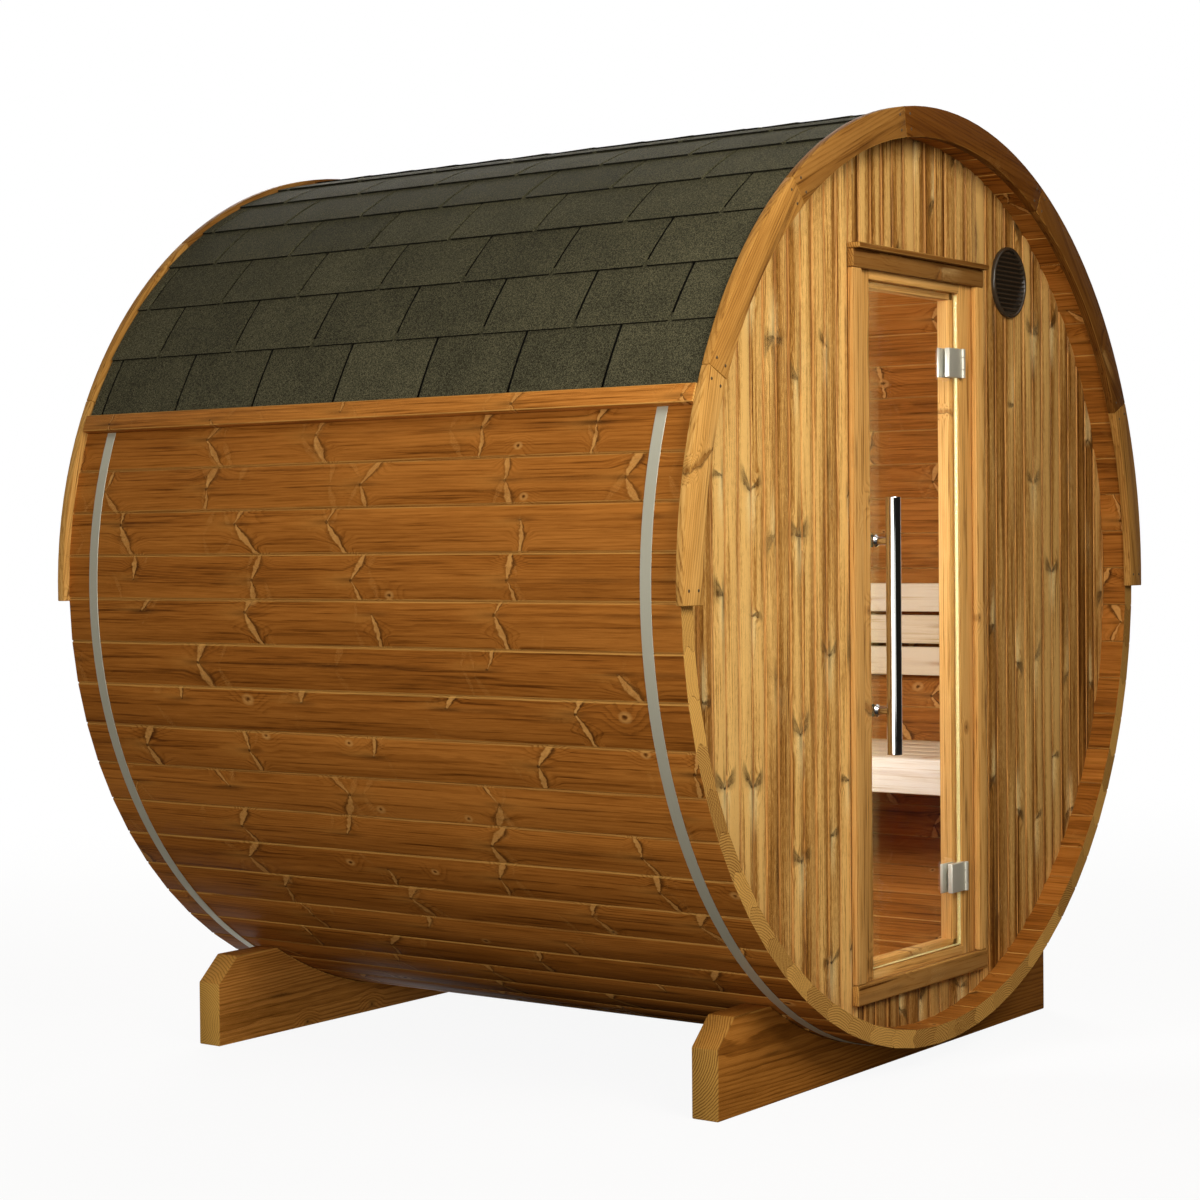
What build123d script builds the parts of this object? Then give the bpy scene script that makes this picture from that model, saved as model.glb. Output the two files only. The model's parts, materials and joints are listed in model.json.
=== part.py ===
# Barrel sauna: a coopered barrel lying on two cradles, with end walls let into the staves,
# a shingled upper half, curved fascia boards and a framed glass door in the front wall.
# The barrel's axis runs along Y with the door towards -Y, Z is up, and the origin is on the
# ground under the middle of the barrel. All lengths are in millimetres, all angles in degrees.
from build123d import *
import os
from math import asin, cos, degrees, radians, sin, sqrt, tan

# Fits shared by the whole assembly
fit_clearance = 0.3
cut_overrun = 5.0

# Barrel shell of bead and cove staves
barrel_radius = 985.0
ground_clearance = 50.0
stave_length = 1620.0
stave_thickness = 38.0
stave_count = 66
stave_turn_angle = 1.15
stave_gap = 0.4
stave_bevel = 2.0
bead_shoulder = 3.0
bead_rise = 12.0
croze_depth = 7.0
croze_shoulder = 1.0

# End walls of upright boards
wall_recess = 55.0
wall_thickness = 42.0

# Fascia boards on the stave ends
fascia_thickness = 20.0
fascia_overhang = 17.0
fascia_width = 64.0
fascia_drop = 25.0
fascia_foot_angle = 65.4
fascia_crown_angle = 10.0

# Cradles
cradle_length = 1424.0
cradle_thickness = 62.0
cradle_height = 197.0
cradle_end_height = 141.0
cradle_chamfer_run = 60.0
cradle_band_gap = 18.0

# Steel bands
band_width = 25.0
band_thickness = 1.0
band_set_in = 65.0

# Eave battens and shingle roof
batten_width = 38.0
batten_thickness = 18.0
batten_angle = 68.6
course_count = 8
shingle_butt = 8.0
shingle_head = 4.0
ridge_gap = 30.0
ridge_cap_width = 250.0
ridge_cap_thickness = 4.0

# Glass door and its frame
glass_width = 386.0
glass_foot_distance = 181.5
glass_head_distance = 356.5
glass_thickness = 8.0
glass_set_back = 3.0
door_clearance = 5.0
stop_lap = 10.0
stile_face = 54.0
rail_face = 18.0
jamb_depth = 46.0
casing_lap = 10.0
frame_gap = 3.0
casing_width = 36.0
casing_thickness = 16.0
casing_round = 4.0
head_casing_height = 38.0
sill_casing_height = 43.0
drip_cap_height = 12.0
drip_cap_depth = 31.0

# Door hinges
hinge_height = 64.0
hinge_end_distance = 150.0
clamp_width = 58.0
clamp_thickness = 12.0
inner_clamp_width = 51.0
inner_clamp_thickness = 6.0
pivot_offset = 7.0
pivot_stand_off = 8.0
knuckle_radius = 6.0
knuckle_height = 26.0
knuckle_gap = 0.5
pin_radius = 3.0
bracket_width = 8.0

# Door handle
handle_radius = 16.0
handle_length = 538.0
handle_edge_distance = 20.0
handle_stand_off = 43.0
post_radius = 9.0
post_spacing = 355.0
rosette_radius = 13.5
rosette_thickness = 8.0
cap_nut_thickness = 5.0

# Vent in the front wall
vent_radius = 81.0
vent_rim = 9.0
vent_stand_out = 9.0
vent_ledge = 8.0
vent_duct_wall = 3.0
vent_casing_distance = 147.0
vent_edge_distance = 142.5
louvre_count = 13
louvre_thickness = 2.0
louvre_set_back = 0.5
louvre_tilt = 40.0

# Bench and backrest on the right
seat_height = 620.0
seat_front = 350.0
seat_wall_gap = 5.0
seat_board_thickness = 28.0
seat_slat_count = 5
seat_slat_gap = 12.0
bench_board_height = 82.0
bench_end_gap = 5.0
bearer_height = 45.0
bearer_thickness = 45.0
bearer_end_distance = 108.0
backrest_rise = 396.0
backrest_wall_gap = 12.0
backrest_thickness = 24.0
backrest_slat_height = 72.0
backrest_slat_gap = 9.0
backrest_slat_count = 3
backrest_support_end_distance = 158.0
backrest_support_thickness = 45.0

# Values that follow from the driving dimensions
axis_height = ground_clearance + barrel_radius
half_length = stave_length / 2
half_angle = 180 / stave_count
outer_flat = barrel_radius * cos(radians(half_angle))
inner_flat = outer_flat - stave_thickness
wall_radius = inner_flat + croze_depth - fit_clearance
wall_front = half_length - wall_recess
wall_back = wall_front - wall_thickness
room_radius = inner_flat - fit_clearance
fascia_outer = barrel_radius + fascia_overhang
fascia_inner = fascia_outer - fascia_width
band_radius = barrel_radius + fit_clearance
shingle_radius = band_radius + band_thickness + fit_clearance
saddle_radius = barrel_radius + fit_clearance
band_center = half_length - band_set_in - band_width / 2
cradle_set_in = band_set_in + band_width + cradle_band_gap
glass_half = glass_width / 2
glass_bottom = axis_height - barrel_radius + glass_foot_distance
glass_top = axis_height + barrel_radius - glass_head_distance
glass_front = wall_front - glass_set_back
glass_back = glass_front - glass_thickness
stop_front = glass_back - door_clearance
rebate_half = glass_half + door_clearance
rebate_bottom = glass_bottom - door_clearance
rebate_top = glass_top + door_clearance
stop_half = glass_half - stop_lap
stop_bottom = glass_bottom + stop_lap
stop_top = glass_top - stop_lap
casing_inner = rebate_half + stile_face
casing_outer = casing_inner + casing_width
casing_bottom = rebate_bottom - rail_face
casing_top = rebate_top + rail_face
jamb_outer = casing_inner + casing_lap
jamb_bottom = casing_bottom - casing_lap
jamb_top = casing_top + casing_lap
opening_half = jamb_outer + frame_gap
opening_bottom = jamb_bottom - frame_gap
opening_top = jamb_top + frame_gap
pivot_x = glass_half + pivot_offset
pivot_front = wall_front + pivot_stand_off
hinge_heights = (glass_bottom + hinge_end_distance, glass_top - hinge_end_distance)
handle_x = -glass_half + handle_edge_distance
handle_z = (glass_bottom + glass_top) / 2
vent_duct_radius = vent_radius - vent_rim - vent_ledge
vent_x = casing_outer + vent_casing_distance
vent_z = axis_height + sqrt((room_radius - vent_edge_distance) ** 2 - vent_x**2)

# Planes: barrel_plane looks at the door end, with its centre on the barrel's axis,
# and front_plane looks the same way with its centre on the ground.
barrel_plane = Plane(origin=(0, 0, axis_height), x_dir=(1, 0, 0), z_dir=(0, -1, 0))
front_plane = Plane(origin=(0, 0, 0), x_dir=(1, 0, 0), z_dir=(0, -1, 0))

os.makedirs("parts", exist_ok=True)


def save(piece, name):
    """Label a finished piece and write it to its own file."""
    piece.part.label = name
    export_step(piece.part, f"parts/{name}.step")


def polar(radius, angle):
    """Point on the barrel's section, with the angle measured from the top towards the left."""
    return (-radius * sin(radians(angle)), radius * cos(radians(angle)))


def ring_sector(inner, outer, start_angle, end_angle):
    """Face of a ring's sector on the barrel's section, from one angle to the other."""
    middle = (start_angle + end_angle) / 2
    with BuildSketch() as sector:
        with BuildLine():
            ThreePointArc(polar(inner, start_angle), polar(inner, middle), polar(inner, end_angle))
            Line(polar(inner, end_angle), polar(outer, end_angle))
            ThreePointArc(polar(outer, end_angle), polar(outer, middle), polar(outer, start_angle))
            Line(polar(outer, start_angle), polar(inner, start_angle))
        make_face()
    return sector.sketch


def front_block(x_range, z_range, front, depth):
    """Add a block given by its X and Z limits, its front face and its depth behind that."""
    center = ((x_range[0] + x_range[1]) / 2, depth / 2 - front, (z_range[0] + z_range[1]) / 2)
    with Locations(center):
        Box(x_range[1] - x_range[0], depth, z_range[1] - z_range[0])


# Staves: flat faces, a bead on one edge, a cove on the other, and a croze groove at each end
def edge_x(radial):
    """Half width of a stave at a radial height, less half the joint gap."""
    return radial * tan(radians(half_angle)) - stave_gap / 2


bead_outer = outer_flat - bead_shoulder
bead_inner = inner_flat + croze_depth + croze_shoulder
bead_middle = (bead_outer + bead_inner) / 2
bevel_foot = outer_flat - stave_bevel

with BuildPart() as stave:
    with BuildSketch():
        with BuildLine():
            Polyline(
                (-edge_x(bead_outer), bead_outer),
                (-edge_x(bevel_foot), bevel_foot),
                (-edge_x(outer_flat) + stave_bevel, outer_flat),
                (edge_x(outer_flat) - stave_bevel, outer_flat),
                (edge_x(bevel_foot), bevel_foot),
                (edge_x(bead_outer), bead_outer),
            )
            ThreePointArc(
                (edge_x(bead_outer), bead_outer),
                (edge_x(bead_middle) + bead_rise, bead_middle),
                (edge_x(bead_inner), bead_inner),
            )
            Polyline(
                (edge_x(bead_inner), bead_inner),
                (edge_x(inner_flat), inner_flat),
                (-edge_x(inner_flat), inner_flat),
                (-edge_x(bead_inner), bead_inner),
            )
            ThreePointArc(
                (-edge_x(bead_inner), bead_inner),
                (-edge_x(bead_middle) + bead_rise, bead_middle),
                (-edge_x(bead_outer), bead_outer),
            )
        make_face()
    extrude(amount=half_length, both=True)
    croze_width = wall_thickness + 2 * fit_clearance
    croze_height = croze_depth + cut_overrun
    croze_length = 2 * (edge_x(outer_flat) + cut_overrun)
    croze_rise = inner_flat + croze_depth - croze_height / 2
    croze_place = wall_front - wall_thickness / 2
    with Locations((0, croze_rise, croze_place), (0, croze_rise, -croze_place)):
        Box(croze_length, croze_height, croze_width, mode=Mode.SUBTRACT)

stave_groups = (
    "roof_staves",
    "left_upper_staves",
    "left_lower_staves",
    "bottom_staves",
    "right_lower_staves",
    "right_upper_staves",
)
group_size = stave_count // len(stave_groups)
stave_pitch = 360 / stave_count

for group, group_name in enumerate(stave_groups):
    first_angle = stave_turn_angle + (group * group_size - (group_size - 1) / 2) * stave_pitch
    with BuildPart(barrel_plane) as staves:
        with PolarLocations(0, group_size, first_angle, (group_size - 1) * stave_pitch, endpoint=True):
            add(stave.part)
    save(staves, group_name)


# End walls: the front one is split beside, over and under the doorway
def wall_panel(name, x_range, z_range):
    """Make one panel of the front wall between X limits and Z limits, cut to the round."""
    with BuildPart() as panel:
        front_block(x_range, z_range, wall_front, wall_thickness)
        with BuildSketch(barrel_plane.offset(wall_front)):
            Circle(wall_radius)
        extrude(amount=-wall_thickness, mode=Mode.INTERSECT)
        if x_range[0] < vent_x < x_range[1]:
            with BuildSketch(front_plane.offset(wall_front)):
                with Locations((vent_x, vent_z)):
                    Circle(vent_duct_radius + fit_clearance)
            extrude(amount=-wall_thickness, mode=Mode.SUBTRACT)
    save(panel, name)


wall_low = axis_height - barrel_radius
wall_high = axis_height + barrel_radius
wall_panel("front_wall_left", (-barrel_radius, -opening_half), (wall_low, wall_high))
wall_panel("front_wall_right", (opening_half, barrel_radius), (wall_low, wall_high))
wall_panel("front_wall_over_door", (-opening_half, opening_half), (opening_top, wall_high))
wall_panel("front_wall_under_door", (-opening_half, opening_half), (wall_low, opening_bottom))

with BuildPart() as rear_wall:
    with BuildSketch(barrel_plane.offset(-wall_back)):
        Circle(wall_radius)
    extrude(amount=-wall_thickness)
save(rear_wall, "rear_wall")

# Fascia boards: sawn segments on the stave ends, cut level at their feet
joint_angle = degrees(fit_clearance / fascia_outer)
fascia_joints = (
    fascia_foot_angle,
    (fascia_foot_angle + fascia_crown_angle) / 2,
    fascia_crown_angle,
    (fascia_crown_angle - fascia_foot_angle) / 2,
    -fascia_foot_angle,
)


def fascia_foot(side):
    """Face of the lowest fascia board of one side, cut level at its foot."""
    outer_foot = (-side * sqrt(fascia_outer**2 - fascia_drop**2), -fascia_drop)
    inner_foot = (-side * sqrt(fascia_inner**2 - fascia_drop**2), -fascia_drop)
    top_angle = side * (fascia_foot_angle + joint_angle)
    middle = side * (fascia_foot_angle + 90) / 2
    with BuildSketch() as foot:
        with BuildLine():
            Line(inner_foot, outer_foot)
            ThreePointArc(outer_foot, polar(fascia_outer, middle), polar(fascia_outer, top_angle))
            Line(polar(fascia_outer, top_angle), polar(fascia_inner, top_angle))
            ThreePointArc(polar(fascia_inner, top_angle), polar(fascia_inner, middle), inner_foot)
        make_face()
    return foot.sketch


for end_name, fascia_face in (("front", half_length + fascia_thickness), ("rear", -half_length)):
    with BuildPart() as fascia_upper:
        with BuildSketch(barrel_plane.offset(fascia_face)):
            for upper_joint, lower_joint in zip(fascia_joints, fascia_joints[1:]):
                add(ring_sector(fascia_inner, fascia_outer, upper_joint, lower_joint + joint_angle))
        extrude(amount=-fascia_thickness)
    save(fascia_upper, f"{end_name}_fascia_upper")
    for side_name, side in (("left", 1), ("right", -1)):
        with BuildPart() as fascia_lower:
            with BuildSketch(barrel_plane.offset(fascia_face)):
                add(fascia_foot(side))
            extrude(amount=-fascia_thickness)
        save(fascia_lower, f"{end_name}_fascia_{side_name}")

# Cradles: sawn beams with a round saddle and chamfered ends
cradle_half = cradle_length / 2
saddle_x = sqrt(saddle_radius**2 - (axis_height - cradle_height) ** 2)

for cradle_name, cradle_face in (
    ("front_cradle", half_length - cradle_set_in),
    ("rear_cradle", -half_length + cradle_set_in + cradle_thickness),
):
    with BuildPart() as cradle:
        with BuildSketch(front_plane.offset(cradle_face)):
            with BuildLine():
                Polyline(
                    (-saddle_x, cradle_height),
                    (-cradle_half + cradle_chamfer_run, cradle_height),
                    (-cradle_half, cradle_end_height),
                    (-cradle_half, 0),
                    (cradle_half, 0),
                    (cradle_half, cradle_end_height),
                    (cradle_half - cradle_chamfer_run, cradle_height),
                    (saddle_x, cradle_height),
                )
                ThreePointArc(
                    (saddle_x, cradle_height),
                    (0, axis_height - saddle_radius),
                    (-saddle_x, cradle_height),
                )
            make_face()
        extrude(amount=-cradle_thickness)
    save(cradle, cradle_name)

# Steel bands round the staves
for band_name, band_place in (("front_band", band_center), ("rear_band", -band_center)):
    with BuildPart() as band:
        with BuildSketch(barrel_plane.offset(band_place)):
            Circle(band_radius + band_thickness)
            Circle(band_radius, mode=Mode.SUBTRACT)
        extrude(amount=band_width / 2, both=True)
    save(band, band_name)

# Eave battens along the lower edge of the roof, notched over the bands
batten_seat = barrel_radius + fit_clearance
batten_length = stave_length - 2 * fit_clearance
notch_depth = band_thickness + fit_clearance

for side_name, side in (("left", 1), ("right", -1)):
    turn = radians(side * batten_angle)
    batten_plane = Plane(origin=barrel_plane.origin, x_dir=(cos(turn), 0, sin(turn)), z_dir=(0, -1, 0))
    with BuildPart(batten_plane) as batten:
        with Locations((0, batten_seat + batten_thickness / 2, 0)):
            Box(batten_width, batten_thickness, batten_length)
        notch_middle = batten_seat + (notch_depth - cut_overrun) / 2
        with Locations((0, notch_middle, band_center), (0, notch_middle, -band_center)):
            Box(
                batten_width + 2 * cut_overrun,
                notch_depth + cut_overrun,
                band_width + 2 * fit_clearance,
                mode=Mode.SUBTRACT,
            )
    save(batten, f"eave_batten_{side_name}")

# Shingle courses: each one thick at its lower edge, where it laps the course below
eave_angle = batten_angle - degrees(asin((batten_width / 2 + fit_clearance) / shingle_radius))
ridge_angle = degrees(ridge_gap / shingle_radius)
course_angle = (eave_angle - ridge_angle) / course_count
course_joint = degrees(fit_clearance / shingle_radius)
shingle_length = stave_length - 2 * fit_clearance


def shingle_course(lower_angle, upper_angle, side):
    """Face of one course's section, thickest at its lower edge."""
    middle = side * (lower_angle + upper_angle) / 2
    low = side * lower_angle
    high = side * upper_angle
    top_radius = shingle_radius + shingle_head
    butt_radius = shingle_radius + shingle_butt
    with BuildSketch() as section:
        with BuildLine():
            ThreePointArc(
                polar(shingle_radius, low),
                polar(shingle_radius, middle),
                polar(shingle_radius, high),
            )
            Line(polar(shingle_radius, high), polar(top_radius, high))
            ThreePointArc(
                polar(top_radius, high),
                polar((top_radius + butt_radius) / 2, middle),
                polar(butt_radius, low),
            )
            Line(polar(butt_radius, low), polar(shingle_radius, low))
        make_face()
    return section.sketch


for side_name, side in (("left", 1), ("right", -1)):
    with BuildPart() as shingles:
        with BuildSketch(barrel_plane):
            for course in range(course_count):
                course_foot = eave_angle - course * course_angle
                add(shingle_course(course_foot, course_foot - course_angle + course_joint, side))
        extrude(amount=shingle_length / 2, both=True)
    save(shingles, f"roof_shingles_{side_name}")

cap_angle = degrees(ridge_cap_width / 2 / shingle_radius)
cap_radius = shingle_radius + shingle_butt

with BuildPart() as ridge_cap:
    with BuildSketch(barrel_plane):
        add(ring_sector(cap_radius, cap_radius + ridge_cap_thickness, cap_angle, -cap_angle))
    extrude(amount=shingle_length / 2, both=True)
save(ridge_cap, "roof_ridge_cap")

# Door frame: rebated stiles and rails in the wall opening
rebate_depth = wall_front - stop_front
stop_depth = jamb_depth - rebate_depth

for side_name, side in (("left", -1), ("right", 1)):
    with BuildPart() as stile:
        rebate_range = sorted((side * rebate_half, side * jamb_outer))
        stop_range = sorted((side * stop_half, side * jamb_outer))
        front_block(rebate_range, (jamb_bottom, jamb_top), wall_front, rebate_depth)
        front_block(stop_range, (jamb_bottom, jamb_top), stop_front, stop_depth)
    save(stile, f"door_stile_{side_name}")

with BuildPart() as sill_rail:
    front_block((-rebate_half, rebate_half), (jamb_bottom, rebate_bottom), wall_front, rebate_depth)
    front_block((-stop_half, stop_half), (jamb_bottom, stop_bottom), stop_front, stop_depth)
save(sill_rail, "door_sill_rail")

with BuildPart() as head_rail:
    front_block((-rebate_half, rebate_half), (rebate_top, jamb_top), wall_front, rebate_depth)
    front_block((-stop_half, stop_half), (stop_top, jamb_top), stop_front, stop_depth)
save(head_rail, "door_head_rail")

# Casing boards round the doorway, with rounded front edges
casing_face = wall_front + casing_thickness


def casing(name, x_range, z_range, long_axis):
    """Make one casing board, with its two long front edges rounded."""
    with BuildPart() as board:
        front_block(x_range, z_range, casing_face, casing_thickness)
        front_edges = board.edges().filter_by(long_axis).group_by(Axis.Y)[0]
        fillet(front_edges, casing_round)
    save(board, name)


casing("door_casing_left", (-casing_outer, -casing_inner), (casing_bottom, casing_top), Axis.Z)
casing("door_casing_right", (casing_inner, casing_outer), (casing_bottom, casing_top), Axis.Z)
casing_head_top = casing_top + head_casing_height
casing("door_casing_head", (-casing_outer, casing_outer), (casing_top, casing_head_top), Axis.X)
casing_sill_bottom = casing_bottom - sill_casing_height
casing("door_casing_sill", (-casing_outer, casing_outer), (casing_sill_bottom, casing_bottom), Axis.X)

with BuildPart() as drip_cap:
    front_block(
        (-casing_outer, casing_outer),
        (casing_head_top, casing_head_top + drip_cap_height),
        wall_front + drip_cap_depth,
        drip_cap_depth,
    )
    cap_edges = drip_cap.edges().filter_by(Axis.X).group_by(Axis.Y)[0]
    fillet(cap_edges, casing_round)
save(drip_cap, "door_drip_cap")

# Door leaf: one sheet of glass
with BuildPart() as door_glass:
    front_block((-glass_half, glass_half), (glass_bottom, glass_top), glass_front, glass_thickness)
save(door_glass, "door_glass")

# Hinge clamps on the glass, each with two knuckles and the pin
clamp_x = pivot_x - knuckle_radius - clamp_width
clamp_front = glass_front + clamp_thickness
inner_clamp_end = stop_half - door_clearance
side_knuckle_height = (hinge_height - knuckle_height) / 2 - knuckle_gap
knuckle_shift = (hinge_height - side_knuckle_height) / 2

with BuildPart() as hinge_clamps:
    for hinge_z in hinge_heights:
        hinge_range = (hinge_z - hinge_height / 2, hinge_z + hinge_height / 2)
        clamp_range = (clamp_x, clamp_x + clamp_width)
        front_block(clamp_range, hinge_range, clamp_front, clamp_thickness)
        front_block(
            (inner_clamp_end - inner_clamp_width, inner_clamp_end),
            hinge_range,
            glass_back,
            inner_clamp_thickness,
        )
        for shift in (knuckle_shift, -knuckle_shift):
            knuckle_z = hinge_z + shift
            with Locations((pivot_x, -pivot_front, knuckle_z)):
                Cylinder(knuckle_radius, side_knuckle_height)
            front_block(
                (clamp_x + clamp_width / 2, pivot_x),
                (knuckle_z - side_knuckle_height / 2, knuckle_z + side_knuckle_height / 2),
                clamp_front,
                clamp_thickness / 2,
            )
        with Locations((pivot_x, -pivot_front, hinge_z)):
            Cylinder(pin_radius, hinge_height)
save(hinge_clamps, "door_hinge_clamps")

with BuildPart() as hinge_brackets:
    for hinge_z in hinge_heights:
        with Locations((pivot_x, -pivot_front, hinge_z)):
            Cylinder(knuckle_radius, knuckle_height)
        front_block(
            (pivot_x, pivot_x + bracket_width),
            (hinge_z - knuckle_height / 2, hinge_z + knuckle_height / 2),
            pivot_front,
            pivot_stand_off,
        )
        with Locations((pivot_x, -pivot_front, hinge_z)):
            Cylinder(pin_radius + fit_clearance, knuckle_height + cut_overrun, mode=Mode.SUBTRACT)
save(hinge_brackets, "door_hinge_brackets")

# Door handle: an upright bar on two posts, with cap nuts on the inner face of the glass
bar_front = glass_front + handle_stand_off

with BuildPart() as handle:
    with Locations((handle_x, -bar_front, handle_z)):
        Cylinder(handle_radius, handle_length)
    post_places = ((handle_x, handle_z - post_spacing / 2), (handle_x, handle_z + post_spacing / 2))
    with BuildSketch(front_plane.offset(glass_front)):
        with Locations(*post_places):
            Circle(post_radius)
    extrude(amount=handle_stand_off)
    with BuildSketch(front_plane.offset(glass_front)):
        with Locations(*post_places):
            Circle(rosette_radius)
    extrude(amount=rosette_thickness)
    with BuildSketch(front_plane.offset(glass_back)):
        with Locations(*post_places):
            Circle(rosette_radius)
    extrude(amount=-cap_nut_thickness)
save(handle, "door_handle")

# Round vent with tilted louvres, its duct through the wall
with BuildPart() as vent:
    with BuildSketch(front_plane.offset(wall_front)):
        with Locations((vent_x, vent_z)):
            Circle(vent_radius)
            Circle(vent_radius - vent_rim, mode=Mode.SUBTRACT)
    extrude(amount=vent_stand_out)
    with BuildSketch(front_plane.offset(wall_front)):
        with Locations((vent_x, vent_z)):
            Circle(vent_radius - vent_rim)
            Circle(vent_duct_radius - vent_duct_wall, mode=Mode.SUBTRACT)
    extrude(amount=louvre_thickness)
    with BuildSketch(front_plane.offset(wall_front)):
        with Locations((vent_x, vent_z)):
            Circle(vent_duct_radius)
            Circle(vent_duct_radius - vent_duct_wall, mode=Mode.SUBTRACT)
    extrude(amount=-wall_thickness)
    louvre_pitch = 2 * (vent_radius - vent_rim) / (louvre_count + 1)
    louvre_lean = louvre_thickness * sin(radians(louvre_tilt))
    louvre_depth = (vent_stand_out - 2 * louvre_set_back - louvre_lean) / cos(radians(louvre_tilt))
    for louvre in range(louvre_count):
        louvre_rise = (louvre - (louvre_count - 1) / 2) * louvre_pitch
        louvre_length = 2 * sqrt((vent_radius - vent_rim / 2) ** 2 - louvre_rise**2)
        louvre_plane = Plane(
            origin=(vent_x, -wall_front - vent_stand_out / 2, vent_z + louvre_rise),
            x_dir=(1, 0, 0),
            z_dir=(0, -sin(radians(louvre_tilt)), cos(radians(louvre_tilt))),
        )
        with BuildSketch(louvre_plane):
            Rectangle(louvre_length, louvre_depth)
        extrude(amount=louvre_thickness / 2, both=True)
save(vent, "vent_grille")


def round_x(height):
    """Distance from the barrel's middle to the inner round at a height above the ground."""
    return sqrt(room_radius**2 - (height - axis_height) ** 2)


# Bench on the right: slats between the end walls on bearers that seat on the staves
bench_length = 2 * (wall_back - bench_end_gap)
seat_bottom = seat_height - seat_board_thickness
slat_start = seat_front + seat_board_thickness + fit_clearance
seat_rear = round_x(seat_bottom) - seat_wall_gap
slat_span = seat_rear - slat_start - (seat_slat_count - 1) * seat_slat_gap
seat_slat_width = slat_span / seat_slat_count
bench_front = bench_length / 2

with BuildPart() as bench_seat:
    for slat in range(seat_slat_count):
        slat_x = slat_start + slat * (seat_slat_width + seat_slat_gap)
        slat_range = (slat_x, slat_x + seat_slat_width)
        front_block(slat_range, (seat_bottom, seat_height), bench_front, bench_length)
save(bench_seat, "bench_seat")

with BuildPart() as bench_front_board:
    front_block(
        (seat_front, seat_front + seat_board_thickness),
        (seat_height - bench_board_height, seat_height),
        bench_front,
        bench_length,
    )
save(bench_front_board, "bench_front_board")

with BuildPart() as bench_bearers:
    bearer_start = seat_front + seat_board_thickness
    bearer_end = bench_front - bearer_end_distance
    for place in (-bearer_end, 0, bearer_end):
        bearer_front = place + bearer_thickness / 2
        front_block(
            (bearer_start, barrel_radius),
            (seat_bottom - bearer_height, seat_bottom),
            bearer_front,
            bearer_thickness,
        )
    with BuildSketch(barrel_plane):
        Circle(room_radius)
    extrude(amount=half_length, both=True, mode=Mode.INTERSECT)
save(bench_bearers, "bench_bearers")

# Backrest: three slats on supports that follow the round of the staves
backrest_top = seat_height + backrest_rise
backrest_pitch = backrest_slat_height + backrest_slat_gap
backrest_bottom = backrest_top - backrest_slat_count * backrest_pitch + backrest_slat_gap
support_start = min(round_x(backrest_bottom), round_x(backrest_top)) - backrest_wall_gap
backrest_face = support_start - backrest_thickness

with BuildPart() as backrest_slats:
    for slat in range(backrest_slat_count):
        slat_top = backrest_top - slat * backrest_pitch
        front_block(
            (backrest_face, support_start),
            (slat_top - backrest_slat_height, slat_top),
            bench_front,
            bench_length,
        )
save(backrest_slats, "backrest_slats")

with BuildPart() as backrest_supports:
    support_end = bench_front - backrest_support_end_distance
    for place in (-support_end, support_end):
        front_block(
            (support_start, barrel_radius),
            (backrest_bottom, backrest_top),
            place + backrest_support_thickness / 2,
            backrest_support_thickness,
        )
    with BuildSketch(barrel_plane):
        Circle(room_radius)
    extrude(amount=half_length, both=True, mode=Mode.INTERSECT)
save(backrest_supports, "backrest_supports")
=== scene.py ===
"""Looks of the barrel sauna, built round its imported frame.

Each sub-assembly of the sauna is a dataclass that reads its sizes from the frame, builds its
visible pieces and dresses them. All lengths are in metres. The barrel's axis runs along Y, the
door looks towards -Y and Z is up. Round positions are angles from the top of the barrel.

Fields of one name mean the same in every class: barrel holds the barrel's sizes, a rounding is the
width of rounded edges, steps and segments are numbers of faces along and round a piece, and a tint is
how pale a piece is, from -1 for its finish's dark colour to 1 for the pale one.
"""
import sys

import json
import logging
import math
import random
from dataclasses import dataclass, field, replace
from enum import Enum
from functools import lru_cache
from typing import Mapping, Optional, Sequence, Union

import bmesh
import bpy
from mathutils import Matrix, Vector


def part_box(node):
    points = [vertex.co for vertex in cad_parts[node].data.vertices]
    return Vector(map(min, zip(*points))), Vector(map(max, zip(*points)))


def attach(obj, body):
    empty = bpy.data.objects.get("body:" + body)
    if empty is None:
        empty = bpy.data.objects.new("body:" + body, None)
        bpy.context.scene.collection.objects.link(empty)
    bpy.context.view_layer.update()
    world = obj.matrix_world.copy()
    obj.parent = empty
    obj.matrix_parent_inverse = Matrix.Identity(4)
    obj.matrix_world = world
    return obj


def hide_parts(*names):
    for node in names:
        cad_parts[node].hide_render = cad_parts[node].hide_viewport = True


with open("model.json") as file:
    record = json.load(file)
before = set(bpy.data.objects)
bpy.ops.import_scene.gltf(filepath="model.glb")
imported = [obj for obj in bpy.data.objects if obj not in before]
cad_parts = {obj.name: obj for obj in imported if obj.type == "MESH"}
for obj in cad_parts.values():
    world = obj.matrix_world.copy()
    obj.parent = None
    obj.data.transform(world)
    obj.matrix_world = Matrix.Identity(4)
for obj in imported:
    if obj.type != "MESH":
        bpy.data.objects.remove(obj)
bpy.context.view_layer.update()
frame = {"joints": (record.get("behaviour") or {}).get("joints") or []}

log = logging.getLogger("barrel_sauna")
Colour = tuple[float, float, float, float]
Outline = list[tuple[float, float]]
Shape = bmesh.types.BMesh
Material, Mesh = bpy.types.Material, bpy.types.Mesh
Key = Union[str, int]
Value = Union["Socket", float, int, str, Sequence[float], bpy.types.ID]

RIGHT, BACK, UP = Vector((1, 0, 0)), Vector((0, 1, 0)), Vector((0, 0, 1))
FIT = 0.0003
# Share of the pale end-grain colour painted on bevel faces: a painted highlight for light catching the rounded edges.
BEVEL_HIGHLIGHT = 0.55
SHARP_ANGLE, CREASE_ANGLE = math.radians(28), math.radians(32)
BAND_SKIN = 0.001
PIN_INSET = 0.0004


class Body(Enum):
    """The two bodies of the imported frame."""

    CABIN = "cabin"
    DOOR = "door"


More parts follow.
